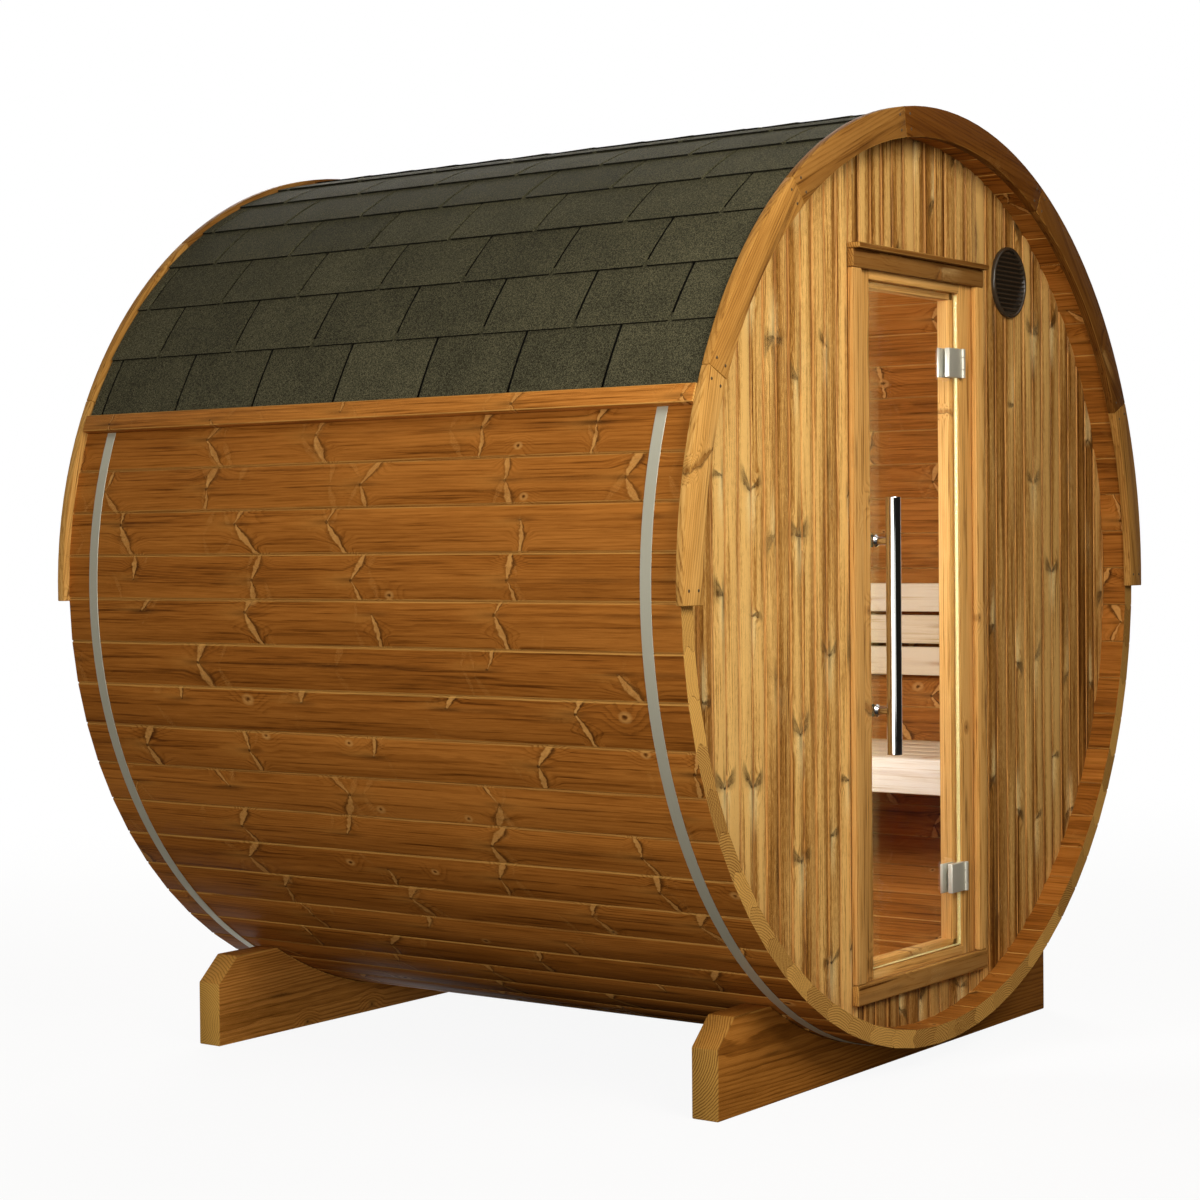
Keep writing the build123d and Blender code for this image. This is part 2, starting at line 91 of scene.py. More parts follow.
class End(Enum):
    """The barrel's ends, by the sign of their outward direction along Y."""

    FRONT = -1
    REAR = 1


class Side(Enum):
    """The barrel's sides, by the sign of their outward direction along X."""

    LEFT = -1
    RIGHT = 1


def paint(red: int, green: int, blue: int) -> Colour:
    """Turn a screen colour into the linear one that shaders take.

    Args:
        red, green, blue: Levels from 0 to 255 as a screen shows them.

    Returns:
        The linear colour with full alpha.
    """
    levels = [level / 255 for level in (red, green, blue)]
    linear = [v / 12.92 if v <= 0.04045 else ((v + 0.055) / 1.055) ** 2.4 for v in levels]
    return (linear[0], linear[1], linear[2], 1.0)


class Socket:
    """A node's output that Python arithmetic can use; each operation adds a Math node."""

    def __init__(self, graph: "Graph", link: bpy.types.NodeSocket) -> None:
        """Wrap an output socket of a graph's node."""
        self.graph, self.link = graph, link

    def out(self, name: Key) -> "Socket":
        """Another output of the same node, by its name or index."""
        return Socket(self.graph, self.link.node.outputs[name])

    @property
    def parts(self) -> tuple["Socket", "Socket", "Socket"]:
        """The three numbers of a vector or colour."""
        first = self.graph.node("ShaderNodeSeparateXYZ", {0: self})
        return first, first.out(1), first.out(2)

    def math(self, operation: str, *others: Value) -> "Socket":
        """A Math node with this socket as its first value."""
        return self.graph.math(operation, self, *others)

    def __add__(self, other: Value) -> "Socket":
        """This and another value added up."""
        return self.math("ADD", other)

    def __sub__(self, other: Value) -> "Socket":
        """This less another value."""
        return self.math("SUBTRACT", other)

    def __rsub__(self, other: Value) -> "Socket":
        """Another value less this."""
        return self.graph.math("SUBTRACT", other, self)

    def __mul__(self, other: Value) -> "Socket":
        """This times another value."""
        return self.math("MULTIPLY", other)

    def __truediv__(self, other: Value) -> "Socket":
        """This divided by another value."""
        return self.math("DIVIDE", other)

    def __rtruediv__(self, other: Value) -> "Socket":
        """Another value divided by this."""
        return self.graph.math("DIVIDE", other, self)

    def __pow__(self, other: Value) -> "Socket":
        """This to a power."""
        return self.math("POWER", other)

    def __mod__(self, other: Value) -> "Socket":
        """What is left of this above a multiple of another value."""
        return self.math("FLOORED_MODULO", other)

    def __neg__(self) -> "Socket":
        """This with its sign changed."""
        return self.math("MULTIPLY", -1.0)

    def __abs__(self) -> "Socket":
        """This without its sign."""
        return self.math("ABSOLUTE")

    __radd__, __rmul__ = __add__, __mul__

    def clamp(self, low: Value, high: Value) -> "Socket":
        """This, kept between two limits."""
        return self.math("MAXIMUM", low).math("MINIMUM", high)

    def rise(self, low: float, high: float) -> "Socket":
        """A smooth step from 0 at one value to 1 at another."""
        inputs = {"From Min": low, "From Max": high, "Value": self}
        return self.graph.node("ShaderNodeMapRange", inputs, interpolation_type="SMOOTHSTEP")

    def fall(self, low: float, high: float) -> "Socket":
        """A smooth step from 1 at one value to 0 at another."""
        return 1.0 - self.rise(low, high)


class Graph:
    """A node tree under construction, for a material, the world or a geometry."""

    def __init__(self, tree: bpy.types.NodeTree) -> None:
        """Start on a node tree."""
        self.tree = tree

    def node(
        self, kind: str, inputs: Optional[Mapping[Key, Value]] = None, output: Key = 0, **settings: object
    ) -> Socket:
        """Add a node.

        Args:
            kind: The node's type name.
            inputs: Values or links by socket name or index.
            output: Name or index of the output to return.
            settings: Properties set before the sockets; stops sets a colour ramp.

        Returns:
            The chosen output.
        """
        made = self.tree.nodes.new(kind)
        for name, value in settings.items():
            if name != "stops":
                setattr(made, name, value)
                continue
            elements = made.color_ramp.elements
            while len(elements) < len(value):
                elements.new(1.0)
            for element, (position, colour) in zip(elements, value):
                element.position, element.color = position, colour
        for name, value in (inputs or {}).items():
            self.feed(made.inputs[name], value)
        return Socket(self, made.outputs[output])

    def feed(self, socket: bpy.types.NodeSocket, value: Value) -> None:
        """Link an input socket to an output, or set its plain value.

        Args:
            socket: The input.
            value: The output or the value.
        """
        if isinstance(value, Socket):
            self.tree.links.new(value.link, socket)
        else:
            socket.default_value = value

    def math(self, operation: str, *values: Value) -> Socket:
        """A Math node's result."""
        return self.node("ShaderNodeMath", dict(enumerate(values)), operation=operation)

    def vector(self, x: Value, y: Value, z: Value) -> Socket:
        """A vector from three numbers."""
        return self.node("ShaderNodeCombineXYZ", {0: x, 1: y, 2: z})

    def scaled(self, vector: Socket, *factors: float) -> Socket:
        """A vector with each of its numbers times a factor."""
        return self.node("ShaderNodeVectorMath", {0: vector, 1: factors}, operation="MULTIPLY")

    def mix(self, share: Value, first: Value, second: Value, blend: str = "MIX") -> Socket:
        """Two colours mixed, with a share of the second."""
        inputs = {0: share, 6: first, 7: second}
        return self.node("ShaderNodeMix", inputs, 2, data_type="RGBA", blend_type=blend)

    def ramp(self, share: Socket, *stops: tuple[float, Colour]) -> Socket:
        """A colour from a ramp with stops at some shares."""
        return self.node("ShaderNodeValToRGB", {"Fac": share}, stops=stops)

    def rolls(self, seed: Socket) -> tuple[Socket, Socket, Socket]:
        """Three random numbers from 0 to 1 that go with a number."""
        return self.node("ShaderNodeTexWhiteNoise", {"W": seed}, "Color", noise_dimensions="1D").parts

    def noise(self, place: Socket, detail: float = 2.0, roughness: float = 0.5) -> Socket:
        """A noise about 0.5 with features of size 1 and finer layers."""
        inputs = {"Vector": place, "Scale": 1.0, "Detail": detail, "Roughness": roughness}
        return self.node("ShaderNodeTexNoise", inputs)

    def seen(self) -> Socket:
        """1 for a ray that looks at a surface, straight, in a mirror or through glass, else 0."""
        camera = self.node("ShaderNodeLightPath", output="Is Camera Ray")
        return camera.math("MAXIMUM", camera.out("Is Glossy Ray")).math("MAXIMUM", camera.out("Is Transmission Ray"))


class SurfaceGraph(Graph):
    """The nodes of a material."""

    def __init__(self, name: str) -> None:
        """Make an empty material.

        Args:
            name: The material's name.
        """
        self.material = bpy.data.materials.new(name)
        self.material.use_nodes = True
        self.material.node_tree.nodes.clear()
        super().__init__(self.material.node_tree)

    def attribute(self, name: str, output: str = "Fac") -> Socket:
        """One of the mesh's own attributes."""
        return self.node("ShaderNodeAttribute", output=output, attribute_name=name)

    def place(self) -> Socket:
        """The point's place in the object, in metres."""
        return self.node("ShaderNodeTexCoord", output="Object")

    def bump(self, height: Socket, strength: float, distance: float) -> Socket:
        """A normal from a height, whose 1 is a distance in metres."""
        inputs = {"Height": height, "Strength": strength, "Distance": distance}
        return self.node("ShaderNodeBump", inputs, "Normal")

    def close(self, inputs: Mapping[str, Value]) -> Material:
        """Finish the material with a Principled shader of these inputs."""
        return self.show(self.node("ShaderNodeBsdfPrincipled", inputs))

    def show(self, shader: Socket) -> Material:
        """Finish the material with a shader."""
        self.feed(self.tree.nodes.new("ShaderNodeOutputMaterial").inputs["Surface"], shader)
        return self.material


class ShapeGraph(Graph):
    """A Geometry Nodes tree that repeats the mesh it is put on."""

    def __init__(self, name: str) -> None:
        """Make a tree that takes a geometry to repeat, a seed and a material.

        Args:
            name: The tree's name.
        """
        super().__init__(bpy.data.node_groups.new(name, "GeometryNodeTree"))
        self.identifiers: dict[str, str] = {}
        self.source = self.tree.nodes.new("NodeGroupInput")
        self.blank = self.parameter("Blank", "NodeSocketGeometry")
        self.seed = self.parameter("Seed", "NodeSocketInt")
        self.finish = self.parameter("Finish", "NodeSocketMaterial")

    def parameter(self, name: str, kind: str = "NodeSocketFloat") -> Socket:
        """Add a named input to the tree.

        Args:
            name: The input's name.
            kind: Its socket type.

        Returns:
            The input inside the tree.
        """
        made = self.tree.interface.new_socket(name, in_out="INPUT", socket_type=kind)
        self.identifiers[name] = made.identifier
        return Socket(self, self.source.outputs[name])

    def numbers(self, *names: str) -> list[Socket]:
        """Add named inputs for numbers."""
        return [self.parameter(name) for name in names]

    def chance(self, low: float, high: float, shift: int = 0) -> Socket:
        """A random number for each element; a shift of the seed gives another."""
        inputs = {2: low, 3: high, "Seed": self.seed + shift}
        return self.node("FunctionNodeRandomValue", inputs, 1, data_type="FLOAT")

    def index(self) -> Socket:
        """The element's number in its geometry."""
        return self.node("GeometryNodeInputIndex")

    def points(self, count: Value) -> Socket:
        """Points at the origin, one for each copy."""
        return self.node("GeometryNodePoints", {"Count": count})

    def copies(
        self, points: Socket, offset: Value = (0.0, 0.0, 0.0), angle: Value = 0.0, scale: Value = (1.0, 1.0, 1.0)
    ) -> Socket:
        """Put the blank on points and give each copy its own tone.

        Args:
            points: Where the copies go.
            offset: Move of each point.
            angle: Turn about the barrel's axis direction, Y.
            scale: Scale of each copy.

        Returns:
            The copies as instances.
        """
        moved = self.node("GeometryNodeSetPosition", {"Geometry": points, "Offset": offset})
        turn = self.node("FunctionNodeEulerToRotation", {0: self.vector(0.0, angle, 0.0)})
        inputs = {"Points": moved, "Instance": self.blank, "Rotation": turn, "Scale": scale}
        copies = self.node("GeometryNodeInstanceOnPoints", inputs)
        return self.store(copies, "tone", self.chance(0.0, 1.0), "INSTANCE")

    def store(self, geometry: Socket, name: str, value: Value, domain: str, kind: str = "FLOAT") -> Socket:
        """The geometry with a named attribute."""
        inputs = {"Geometry": geometry, "Name": name, "Value": value}
        return self.node("GeometryNodeStoreNamedAttribute", inputs, data_type=kind, domain=domain)

    def stored(self, name: str, kind: str = "FLOAT") -> Socket:
        """The value of a named attribute."""
        return self.node("GeometryNodeInputNamedAttribute", {"Name": name}, data_type=kind)

    def realize(self, geometry: Socket) -> Socket:
        """Instances turned into real geometry."""
        return self.node("GeometryNodeRealizeInstances", {"Geometry": geometry})

    def place(self, geometry: Socket, position: Socket) -> Socket:
        """The geometry with its points at a new position."""
        return self.node("GeometryNodeSetPosition", {"Geometry": geometry, "Position": position})

    def position(self) -> tuple[Socket, Socket, Socket]:
        """Three numbers of every point's position."""
        return self.node("GeometryNodeInputPosition").parts

    def close(self, geometry: Socket) -> "ShapeGraph":
        """End the tree: dress the geometry, which is real, and hand it out.

        Args:
            geometry: The finished geometry.

        Returns:
            The tree.
        """
        dressed = self.node("GeometryNodeSetMaterial", {"Geometry": geometry, "Material": self.finish})
        self.tree.interface.new_socket("Result", in_out="OUTPUT", socket_type="NodeSocketGeometry")
        self.feed(self.tree.nodes.new("NodeGroupOutput").inputs[0], dressed)
        return self

    def grow(
        self, blank: Mesh, name: str, finish: "Finish", nodes: Sequence[str], values: Mapping[str, Value]
    ) -> None:
        """Run the tree on a blank and publish the result as a plain mesh.

        Args:
            blank: The mesh that the tree repeats.
            name: The piece's name.
            finish: What it is dressed in.
            nodes: CAD nodes that it stands for.
            values: The tree's inputs by name.
        """
        holder = placed(blank.name, blank)
        modifier = holder.modifiers.new(self.tree.name, "NODES")
        modifier.node_group = self.tree
        for key, value in {**values, "Finish": finish.material()}.items():
            modifier[self.identifiers[key]] = value
        graph = bpy.context.evaluated_depsgraph_get()
        mesh = bpy.data.meshes.new_from_object(
            holder.evaluated_get(graph), preserve_all_data_layers=True, depsgraph=graph
        )
        bpy.data.objects.remove(holder)
        publish(mesh, name, nodes)


@dataclass(frozen=True)
class Finish:
    """What a piece is dressed in: a record slot and a procedural material.

    Attributes:
        name: The material's name.
        slot: The record's material slot; not used.
    """

    name: str
    slot: str

    def material(self) -> Material:
        """Build the material."""
        raise NotImplementedError


@dataclass(frozen=True)
class BoardPlace:
    """Where a surface point is on its own board, as sockets of a material.

    Attributes:
        graph: The material's graph.
        along, across, depth: Distances from the board's middle along its grain, width and thickness.
        tone: The board's own number.
        rolls: Three more numbers of the board.
    """

    graph: SurfaceGraph
    along: Socket
    across: Socket
    depth: Socket
    tone: Socket
    rolls: tuple[Socket, Socket, Socket]

    @classmethod
    def read(cls, graph: SurfaceGraph) -> "BoardPlace":
        """Read the place from the attributes of a material's mesh."""
        tone = graph.attribute("tone")
        return cls(graph, *graph.attribute("grain", "Vector").parts, tone, graph.rolls(tone * 913.0))

    def noise(self, length: float, width: float, shift: float, detail: float, roughness: float = 0.5) -> Socket:
        """A noise that follows the grain.

        Args:
            length, width: Size of a feature along and across the grain.
            shift: Moves the pattern from board to board.
            detail, roughness: Number and weight of the finer layers.

        Returns:
            The noise, about 0.5.
        """
        move = self.tone * shift
        places = (self.along / length + move, self.across / width - move, self.depth / width + move)
        return self.graph.noise(self.graph.vector(*places), detail, roughness)


@dataclass(frozen=True)
class WoodFinish(Finish):
    """Solid wood that follows each board's own grain, tone, worn edges and sawn ends.

    Attributes:
        pale, middle, dark: Colours of light, usual and dark wood.
        knot: Colour of a knot's heart.
        flame: Colour of the bright wood beside a knot.
        spike: Colour of a knot that the saw cut lengthwise.
        end_grain: Colour of sawn ends, and of the painted highlight on the bevels.
        ring_spacing: Distance between growth rings.
        ring_strength, streak_strength, line_strength: Weights of rings, broad streaks and fine lines.
        streak_roughness: Weight of the streaks' finer layers.
        fibre_strength, tone_strength: Weights of the fibres and of each board's own tone.
        fibre_length: Length of a fibre's mark.
        spike_spacing: Distance between knots along a board.
        spike_share: Share of their wings that shows.
        spike_width: How wide they are against the usual.
        spike_reach: How far from a board's middle they reach.
        spike_lean: Share of the boards on which the wings lean towards the grain's start.
        knot_share: Share of the places that hold a round knot.
        knot_radius: Its middle radius.
        crown_width, crown_painted_shading: Width of a crown on a profiled face, or 0, and the strength of painted
            shade in its valleys and painted highlight on its crowns.
        flame_strength: Weight of the bright wood.
        roughness: Middle roughness.
        shine: Strength of the reflection.
    """

    pale: Colour
    middle: Colour
    dark: Colour
    knot: Colour
    flame: Colour
    spike: Colour
    end_grain: Colour
    ring_spacing: float = 0.0052
    ring_strength: float = 0.2
    streak_strength: float = 0.9
    streak_roughness: float = 0.62
    line_strength: float = 0.4
    fibre_strength: float = 0.65
    tone_strength: float = 0.3
    fibre_length: float = 0.06
    spike_spacing: float = 0.36
    spike_share: float = 0.75
    spike_width: float = 1.25
    spike_reach: float = 0.12
    spike_lean: float = 0.85
    knot_share: float = 0.1
    knot_radius: float = 0.009
    crown_width: float = 0.0
    crown_painted_shading: float = 0.3
    flame_strength: float = 0.5
    roughness: float = 0.55
    shine: float = 0.06

    @lru_cache(maxsize=None)
    def material(self) -> Material:
        """Build the material.

        Returns:
            The wood.
        """
        graph = SurfaceGraph(self.name)
        board = BoardPlace.read(graph)
        cut, tint = graph.attribute("cut"), graph.attribute("tint")
        third = board.rolls[2]
        ragged = board.noise(0.011, 0.008, 13.0, 2.0) - 0.5
        wing, rim, heart, flame, bend = self._spikes(board, ragged)
        eye, halo, swell = self._knots(board, ragged)

        late = self._rings(board, bend + swell * 0.012)
        bent = replace(board, across=board.across - bend)
        streak = bent.noise(0.7, 0.04, 41.0, 4.0, self.streak_roughness)
        line = bent.noise(0.28, 0.0055, 17.0, 3.0, 0.6).rise(0.52, 0.7)
        fibre, relief = (place.noise(self.fibre_length, 0.0021, 29.0, 3.0, 0.65) for place in (bent, board))
        shade = (
            (streak - 0.5) * self.streak_strength
            + (0.25 - line) * self.line_strength
            + (third - 0.5) * self.tone_strength
            + (fibre - 0.5) * self.fibre_strength
            + (0.3 - late) * self.ring_strength
            + 0.5
        )
        # Painted shade in the valleys of a profiled face and painted highlight on its crowns.
        if self.crown_width:
            crown = (abs(board.across) * (math.pi / self.crown_width)).math("SINE")
            shade = shade + (crown - 0.6) * self.crown_painted_shading
        colour = graph.ramp(shade, (0.1, self.dark), (0.5, self.middle), (0.9, self.pale))
        for share, limit in ((-tint, self.dark), (tint, self.pale)):
            ratio = [level / usual for level, usual in zip(limit, self.middle)]
            colour = graph.mix(share, colour, ratio, "MULTIPLY")
        colour = graph.mix(flame * self.flame_strength, colour, self.flame)
        colour = graph.mix(rim * 0.8, colour, self.knot)
        colour = graph.mix(wing.math("MAXIMUM", halo) * (ragged * 1.1 + 0.75), colour, self.spike)
        colour = graph.mix(heart.math("MAXIMUM", eye) * 0.8, colour, self.knot)
        # Sawn ends take the end-grain colour; bevel faces take a share of it as a painted highlight.
        end_shade = late * 0.6 + third * 0.7 + (fibre - 0.5) * 0.3 - tint * 0.4 - 0.25
        colour = graph.mix(cut, colour, graph.ramp(end_shade, (0.0, self.end_grain), (1.0, self.dark)))

        rough = self.roughness + (fibre - 0.5) * 0.25 + cut * 0.2
        normal = graph.bump(relief, 0.4, 0.0006)
        return graph.close(
            {"Base Color": colour, "Roughness": rough, "Specular IOR Level": self.shine, "Normal": normal}
        )

    def _rings(self, board: BoardPlace, swell: Socket) -> Socket:
        """Growth rings about a pith that wanders beside the board.

        Args:
            board: Place on the board.
            swell: How far the rings are pushed outwards.

        Returns:
            Share of dark late wood.
        """
        graph, (first, second, _) = board.graph, board.rolls
        wander = graph.noise(graph.vector(board.along * 1.1, board.tone * 57.0, 0.0), 1.0)
        side = board.across - (first - 0.5) * 0.15 + (wander - 0.5) * 0.05
        below = board.depth + 0.03 + second * 0.11
        ripple = board.noise(0.14, 0.022, 71.0, 2.0)
        radius = (side * side + below * below) ** 0.5 + swell + (ripple - 0.5) * 0.005
        ring = (radius / self.ring_spacing) % 1.0
        return ring.rise(0.35, 0.92) * ring.fall(0.92, 1.0)

    def _spikes(self, board: BoardPlace, ragged: Socket) -> tuple[Socket, ...]:
        """Knots cut lengthwise: two wings that lean along the grain from a dark heart.

        Args:
            board: Place on the board.
            ragged: Uneven number about 0.

        Returns:
            Shares of the wings, their dark outlines, the hearts and the bright wood beside them, and
            how far the grain bends.
        """
        graph, (_, second, third) = board.graph, board.rolls
        cell = board.along / self.spike_spacing + board.tone * 53.0
        number = cell.math("FLOOR")
        spot, lower, upper = graph.rolls(number * 1.37 + board.tone * 713.0)
        run = (cell - number - 0.3 - spot * 0.4) * self.spike_spacing
        offset = board.across - (second - 0.5) * 0.03
        reach = abs(offset)
        roll = lower + (upper - lower) * offset.math("GREATER_THAN", 0.0)
        ahead = run * (1.0 - third.math("LESS_THAN", self.spike_lean) * 2.0)
        size = (roll * 5.7) % 1.0 * 0.9 + 0.4
        half = (reach * 0.22 + 0.0012) * self.spike_width * size * (1.0 - reach.rise(0.028, 0.052) * 0.7)
        lean = roll * 0.8 + 0.12 + (size - 0.9) * reach * 14.0
        lee = (ahead - reach * lean + ragged * 0.01) / half
        band = abs(lee)
        kept = ((roll * 7.3) % 1.0).math("LESS_THAN", self.spike_share)
        shown = kept * reach.fall(self.spike_reach * 0.5, self.spike_reach)
        wing = band.fall(0.6, 1.1) * shown
        rim = band.fall(1.0, 2.6) * (lee.math("GREATER_THAN", 0.0) * 0.6 + 0.4) * shown * (1.0 - wing)
        away = (run * run + offset * offset) ** 0.5
        heart = (away / 0.004 + ragged * 1.5).fall(0.5, 1.2) * kept
        streak = graph.noise(graph.vector(board.along * 2.4, board.tone * 19.0, 0.0), 2.0).rise(0.5, 0.7)
        pith = (reach + ragged * 0.004).fall(0.0005, 0.009) * (streak * 0.45 + abs(run).fall(0.004, 0.06) * 0.55)
        flame = ahead.rise(-0.12, -0.012) * ahead.fall(-0.006, 0.02) * (reach + ragged * 0.02).fall(0.004, 0.024)
        bend = offset * band.fall(0.0, 7.0) * shown * 0.35
        return wing, rim.math("MAXIMUM", pith), heart, flame * kept, bend

    def _knots(self, board: BoardPlace, ragged: Socket) -> tuple[Socket, ...]:
        """A few round knots, scattered over the boards' faces.

        Args:
            board: Place on the board.
            ragged: Uneven number about 0.

        Returns:
            Shares of the knots' hearts and of the rings round them, and how far the growth rings
            swell there.
        """
        graph, length, width = board.graph, 0.24, 0.08
        cell_along = board.along / length + board.tone * 31.0
        cell_across = board.across / width + board.tone * 23.0
        inputs = {"Vector": graph.vector(cell_along, cell_across, 0.0), "Scale": 1.0, "Randomness": 0.85}
        cells = graph.node("ShaderNodeTexVoronoi", inputs, "Position", voronoi_dimensions="2D")
        middle_along, middle_across, _ = cells.parts
        chance, size, _ = cells.out("Color").parts
        run = (cell_along - middle_along) * length / 1.3
        offset = (cell_across - middle_across) * width
        present = chance.math("GREATER_THAN", 1.0 - self.knot_share)
        reach = (run * run + offset * offset) ** 0.5 / ((size + 0.5) * self.knot_radius) + ragged * 0.7
        eye = reach.fall(0.1, 0.6) * present
        halo = (reach.fall(0.7, 1.4) * present - eye) * 0.7
        return eye, halo, reach.fall(0.3, 4.5) * present


@dataclass(frozen=True)
class ShingleFinish(Finish):
    """Bitumen felt covered in mineral granules, with painted shadow on its sawn faces.

    Attributes:
        pale, middle, dark: Colours of the granules.
    """

    pale: Colour
    middle: Colour
    dark: Colour

    @lru_cache(maxsize=None)
    def material(self) -> Material:
        """Build the material.

        Returns:
            The felt.
        """
        graph = SurfaceGraph(self.name)
        place, tone = graph.place(), graph.attribute("tone")
        cells = graph.node("ShaderNodeTexVoronoi", {"Vector": place, "Scale": 620.0}, "Distance")
        grain_tone = cells.out("Color").parts[0]
        x, y, z = graph.scaled(place, 9.0, 9.0, 9.0).parts
        blotch = graph.noise(graph.vector(x, y, z + tone * 40.0), 4.0, 0.6)
        shade = grain_tone * 0.75 + (blotch - 0.5) * 0.3 + (tone - 0.5) * 0.1 + 0.125
        colour = graph.ramp(shade, (0.05, self.dark), (0.5, self.middle), (0.95, self.pale))
        # Sawn butt and end faces of the tabs painted near-black: painted shadow under each course's lower edge.
        colour = graph.mix(graph.attribute("cut") * 0.85, colour, paint(8, 8, 6))
        rough = 0.85 + (grain_tone - 0.5) * 0.2
        normal = graph.bump(cells * -1.0, 0.6, 0.0015)
        return graph.close({"Base Color": colour, "Roughness": rough, "Specular IOR Level": 0.08, "Normal": normal})


@dataclass(frozen=True)
class MetalFinish(Finish):
    """Bare metal with fine brushing.

    Attributes:
        colour: The metal's colour.
        roughness: Its middle roughness.
        brushing: How much the roughness and the tone vary.
        bareness: Share of the metal that no dull film covers.
    """

    colour: Colour
    roughness: float
    brushing: float
    bareness: float = 1.0

    @lru_cache(maxsize=None)
    def material(self) -> Material:
        """Build the material.

        Returns:
            The metal.
        """
        graph = SurfaceGraph(self.name)
        place = graph.place()
        brush = graph.noise(graph.scaled(place, 14.0, 900.0, 14.0), 2.0, 0.6)
        smudge = graph.noise(graph.scaled(place, 30.0, 30.0, 30.0), 3.0)
        dull = tuple(level * 0.8 for level in self.colour[:3]) + (1.0,)
        colour = graph.mix((brush + smudge - 1.0) * self.brushing * 2.0 + 0.3, self.colour, dull)
        rough = self.roughness + (brush + smudge - 1.0) * self.brushing * 0.5
        return graph.close({"Base Color": colour, "Metallic": self.bareness, "Roughness": rough.clamp(0.03, 1.0)})


@dataclass(frozen=True)
class PlasticFinish(Finish):
    """Moulded plastic with a faint texture.

    Attributes:
        colour: The plastic's colour.
        roughness: Its middle roughness.
    """

    colour: Colour
    roughness: float

    @lru_cache(maxsize=None)
    def material(self) -> Material:
        """Build the material.

        Returns:
            The plastic.
        """
        graph = SurfaceGraph(self.name)
        mottle = graph.noise(graph.scaled(graph.place(), 120.0, 120.0, 120.0), 3.0)
        worn = tuple(min(level * 1.5 + 0.004, 1.0) for level in self.colour[:3]) + (1.0,)
        colour, rough = graph.mix(mottle, self.colour, worn), self.roughness + (mottle - 0.5) * 0.2
        return graph.close({"Base Color": colour, "Roughness": rough, "Normal": graph.bump(mottle, 0.1, 0.0004)})


@dataclass(frozen=True)
class GlassFinish(Finish):
    """Clear sheet glass, which mirrors more at a flat angle.

    Attributes:
        colour: Tint of the reflection.
        clouding: Alpha of the clearest view.
    """

    colour: Colour
    clouding: float

    @lru_cache(maxsize=None)
    def material(self) -> Material:
        """Build the material.

        Returns:
            The glass.
        """
        graph = SurfaceGraph(self.name)
        wipe = graph.noise(graph.scaled(graph.place(), 5.0, 5.0, 2.0), 3.0)
        mirror = graph.node("ShaderNodeLayerWeight", {"Blend": 0.5}, "Facing") ** 5.0
        rough, alpha = 0.02 + wipe * 0.02, mirror * 0.9 + self.clouding
        return graph.close({"Base Color": self.colour, "Metallic": 1.0, "Roughness": rough, "Alpha": alpha})


THERMO_WOOD = WoodFinish(
    "thermo_pine", "thermo_wood",
    pale=paint(184, 117, 48), middle=paint(150, 90, 31), dark=paint(98, 53, 12),
    knot=paint(58, 30, 9), flame=paint(186, 126, 56), spike=paint(208, 154, 84), end_grain=paint(220, 170, 90),
)
BEAM_WOOD = WoodFinish(
    "cradle_pine", "thermo_wood",
    pale=paint(176, 116, 48), middle=paint(142, 88, 30), dark=paint(92, 52, 12),
    knot=paint(58, 32, 10), flame=paint(176, 126, 58), spike=paint(150, 104, 46), end_grain=paint(216, 166, 82),
    spike_share=0.0, knot_share=0.16, knot_radius=0.01, ring_strength=0.35, streak_strength=0.6, line_strength=0.25,
)
WALL_WOOD = WoodFinish(
    "panel_pine", "end_wall_wood",
    pale=paint(240, 194, 116), middle=paint(174, 121, 54), dark=paint(98, 55, 14),
    knot=paint(36, 19, 6), flame=paint(255, 226, 158), spike=paint(52, 28, 9), end_grain=paint(240, 172, 90),
    streak_strength=1.6, streak_roughness=0.45, fibre_strength=1.0, tone_strength=0.5,
    fibre_length=0.014, spike_spacing=0.34, spike_share=0.5, spike_width=1.6, spike_reach=0.042, spike_lean=0.5,
    knot_share=0.05, knot_radius=0.006, flame_strength=0.75, crown_width=0.0469,
    roughness=0.42, shine=0.14,
)
FASCIA_WOOD = WoodFinish(
    "fascia_pine", "fascia_wood",
    pale=paint(218, 166, 90), middle=paint(180, 128, 60), dark=paint(100, 57, 15),
    knot=paint(74, 40, 14), flame=paint(214, 166, 96), spike=paint(120, 74, 26), end_grain=paint(190, 140, 66),
    spike_share=0.3, spike_spacing=0.5, tone_strength=0.12, line_strength=0.3, fibre_strength=0.45,
)
FRAME_WOOD = WoodFinish(
    "frame_pine", "frame_wood",
    pale=paint(240, 192, 118), middle=paint(214, 158, 84), dark=paint(106, 62, 18),
    knot=paint(84, 46, 18), flame=paint(236, 200, 134), spike=paint(150, 96, 42), end_grain=paint(208, 158, 82),
    spike_share=0.15, spike_spacing=0.6, tone_strength=0.1, streak_strength=0.6, fibre_strength=0.4,
)
BENCH_WOOD = WoodFinish(
    "bench_aspen", "bench_wood",
    pale=paint(252, 244, 226), middle=paint(246, 232, 204), dark=paint(214, 188, 142),
    knot=paint(170, 120, 74), flame=paint(248, 236, 214), spike=paint(214, 178, 130), end_grain=paint(220, 196, 160),
    spike_share=0.08, knot_share=0.03, fibre_strength=0.3, ring_strength=0.12, streak_strength=0.5,
)
SHINGLE = ShingleFinish(
    "bitumen_shingle", "shingle", pale=paint(116, 112, 86), middle=paint(70, 68, 50), dark=paint(26, 25, 18),
)
